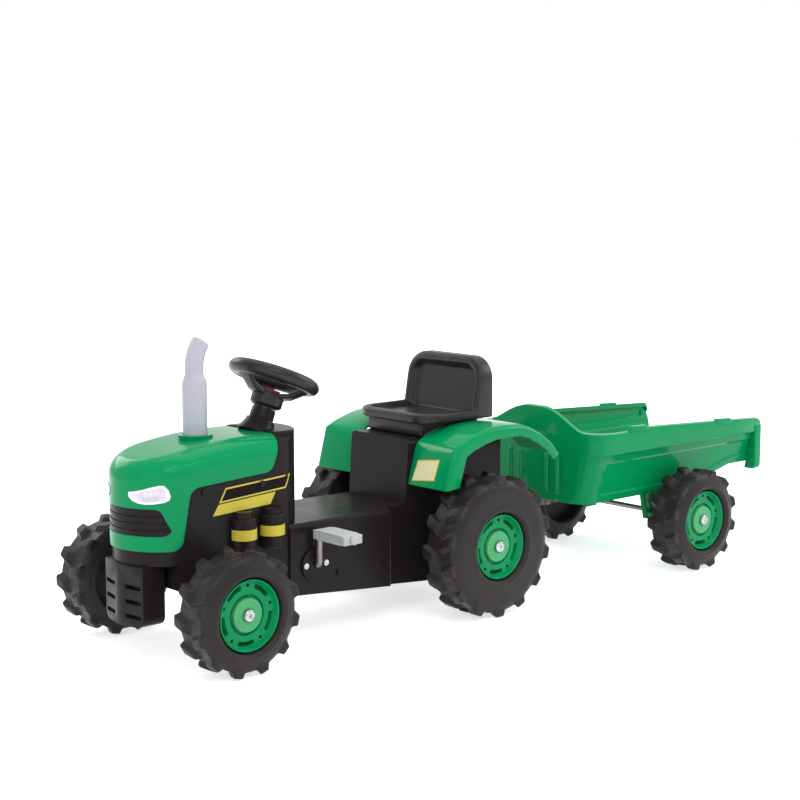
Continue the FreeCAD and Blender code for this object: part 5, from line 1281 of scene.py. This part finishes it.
# %% Label finishes and a film that follows a surface
film_finish = {"grain": 900, "grain_depth": 0.000004}
label_yellow = moulded("label_yellow", (206, 188, 66), 0.36, drift=0.05, **film_finish)
label_cream = moulded("label_cream", (226, 220, 172), 0.36, drift=0.04, **film_finish)
label_black = moulded("label_black", (26, 23, 24), 0.3, drift=0.05, shine=0.04, **film_finish)
film_t, film_cuts, film_lift, ray_start = 0.0004, 9, 0.0002, 0.03


def meet(surface, spot, way):
    """Whether a ray meets a surface, with the place and the surface's normal there."""
    out = surface.matrix_world
    into = out.inverted()
    hit, place, normal, _ = surface.ray_cast(into @ spot, into.to_3x3() @ way)
    return hit, out @ place, (out.to_3x3() @ normal).normalized()


def label(name, corners, border, surface, way):
    """A film with four given corners in millimetres, dropped onto a surface, with a ring for its border."""
    plate = start("plane", name, size=1)
    open_up(plate)
    plate_mesh = open_mesh()
    for corner, spot in zip(next(iter(plate_mesh.faces)).verts, reversed(corners)):
        corner.co = Vector(spot) / 1000
    plate_mesh.normal_update()
    bmesh.update_edit_mesh(plate.data)
    pick_all()
    if border:
        inset((border, 0))
        number_faces(0, 1)
    pick_all()
    bpy.ops.mesh.subdivide(number_cuts=film_cuts)
    let_go()
    ahead = Vector(way).normalized()
    missed = 0
    for corner in plate.data.vertices:
        hit, place, _ = meet(surface, corner.co - ahead * ray_start, ahead)
        missed += not hit
        if hit:
            corner.co = place - ahead * film_lift
    thicken(plate, film_t, 1)
    print(name, "corners that met nothing", missed)
    return plate


# %% [markdown]
# The strip on the side panel leans forward like the bonnet's edge. Its corners were read off against the
# panel's own plane, and the far side gets a mirrored copy. The mudguard's label sits on its flat front
# panel. The canisters' bands stand a hair outside the canisters: each is a cylinder without its ends,
# cut off at the panel and thickened.

# %% Labels and canister bands
strip_corners = (572.1, 90, 249.5), (559.2, 90, 272.6), (428, 90, 280.3), (440.1, 90, 258)
stripe_corners = (584.3, 90, 230.5), (573.3, 90, 247.4), (460.6, 90, 254.6), (471.1, 90, 235.7)
guard_corners = (170, 84, 237), (162, 90, 273.3), (160, 143, 280), (168, 139, 243.2)
strip_border, guard_border = 0.0026, 0.0018
band_r, band_span, band_places = 0.0213, (0.188, 0.205), (0.529, 0.473)
canister_y, panel_y = 0.088, 0.0862

strip = label("side_strip_left", strip_corners, strip_border, nodes["chassis_left"], (0, -1, 0))
stripe = label("side_band_left", stripe_corners, 0, nodes["chassis_left"], (0, -1, 0))
close_sides(strip, (label_black, label_yellow), None)
close_sides(stripe, label_yellow, None)
guard_label = label("guard_label_left", guard_corners, guard_border, guard, (-1, 0, -0.25))
close_up(guard_label, "tractor", (label_cream, label_yellow), None)
bands = []
for x in band_places:
    band = drum("band", band_r, *band_span, 64, x=x, y=canister_y, end_fill_type="NOTHING")
    open_up(band)
    clip((0, panel_y, 0), (0, -1, 0))
    thicken(band, film_t, 1)
    bands.append(band)
close_sides(join_all(bands, "canister_bands_left"), label_yellow, None)

# %% [markdown]
# The exhaust is a blown silver tube: wide below, drawn in at a soft shoulder, then bent back with an open
# end. A curve with a round profile would keep one width all along. So the top of a short cylinder is
# drawn out step by step, and each step of the bend is turned a little further about the bend's middle.

# %% Exhaust pipe
pipe_x, pipe_low, pipe_waist, pipe_shoulder = 0.557, 0.348, 0.428, 0.446
pipe_r, pipe_rise = 0.02, 0.009
bend_r, bend_turn, bend_steps = 0.07, math.radians(36), 9
shoulder_shares = (1, 0.985, 0.94, 0.86, 0.79, 0.75)
mouth_steps = ((0.0024, 0.0004), (0.0006, -0.014))

pipe = drum("exhaust_pipe_moulding", pipe_r, pipe_low, pipe_waist, 40, x=pipe_x)
open_up(pipe)
pick_side("+Z")
for last, share in zip(shoulder_shares, shoulder_shares[1:]):
    draw_faces((pipe_shoulder - pipe_waist) / (len(shoulder_shares) - 1))
    grow(share / last, share / last, 1, (pipe_x, 0, 0))
draw_faces(pipe_rise)
to_bend = Matrix.Translation((pipe_x - bend_r, 0, pipe_shoulder + pipe_rise))
one_turn = to_bend @ Matrix.Rotation(-bend_turn / bend_steps, 4, "Y") @ to_bend.inverted()
for _ in range(bend_steps):
    draw_faces(0)
    for corner in open_mesh().verts:
        if corner.select:
            corner.co = one_turn @ corner.co
    bmesh.update_edit_mesh(pipe.data)
inset(*mouth_steps)
tidy_normals(pipe)
soften(pipe, 0.001, 3, 40)
print("exhaust tip", round(max(corner.co.z for corner in pipe.data.vertices), 4))
close_up(pipe, "tractor", silver, "silver_plastic", "exhaust_pipe", angle=40)

# %% [markdown]
# A soft brow is pressed into each cheek of the bonnet, from above the lamp back towards the exhaust, and
# a thick ring stands round the exhaust's foot. The bonnet itself is the constructed solid, so the brow is
# a slim strip of the same plastic: a plane cut into a grid, swept along the brow's line, laid onto the
# bonnet by rays and bulged out in the middle.

# %% Bonnet brows and exhaust ring
brow_line = ((0.672, 0.3005), (0.655, 0.3075), (0.634, 0.3135), (0.61, 0.3175), (0.584, 0.3205))
brow_half, brow_rise, brow_sink, brow_wall, brow_outside = 0.0048, 0.0016, 0.0003, 0.0012, 0.2
brow_start_share, brow_slim_power, brow_bulge_power = 0.06, 0.6, 1.5
collar_out_r, collar_z, collar_lean_share = 0.0288, (0.33345, 0.34895), 0.84
collar_gap, collar_well = 0.0008, (0.0004, -0.0022)


def along(line, share):
    """A spot on a line of points, at a share of its way."""
    place = share * (len(line) - 1)
    first = min(int(place), len(line) - 2)
    return [a + (b - a) * (place - first) for a, b in zip(line[first], line[first + 1])]


brow = start("grid", "bonnet_brow_left", x_subdivisions=40, y_subdivisions=8, size=2)
missed = 0
for corner in brow.data.vertices:
    share, row = (corner.co.x + 1) / 2, corner.co.y
    x, z = along(brow_line, share)
    turn = math.pi * min(1, brow_start_share + (1 - brow_start_share) * share)
    slim = math.sin(turn) ** brow_slim_power
    outside = Vector((x, brow_outside, z + row * brow_half * slim))
    hit, place, normal = meet(nodes["bonnet"], outside, Vector((0, -1, 0)))
    missed += not hit
    corner.co = place + normal * (brow_rise * slim * (1 - row * row) ** brow_bulge_power - brow_sink)
open_up(brow)
face_out(lambda faces: sum(face.normal.y for face in faces) < 0)
thicken(brow, brow_wall)
close_sides(brow, green, "green_plastic", angle=60)
print("brow corners that met no bonnet", missed)

pipe_ring = drum("exhaust_ring", collar_out_r, *collar_z, 64, x=pipe_x)
open_up(pipe_ring)
pick_side("+Z")
inset((collar_out_r - pipe_r - collar_gap, 0), collar_well)
pick_side("-Z")
grow(collar_lean_share, collar_lean_share, 1, (pipe_x, 0, 0))
soften(pipe_ring, 0.0014, 3)
close_up(pipe_ring, "tractor", green, "green_plastic")
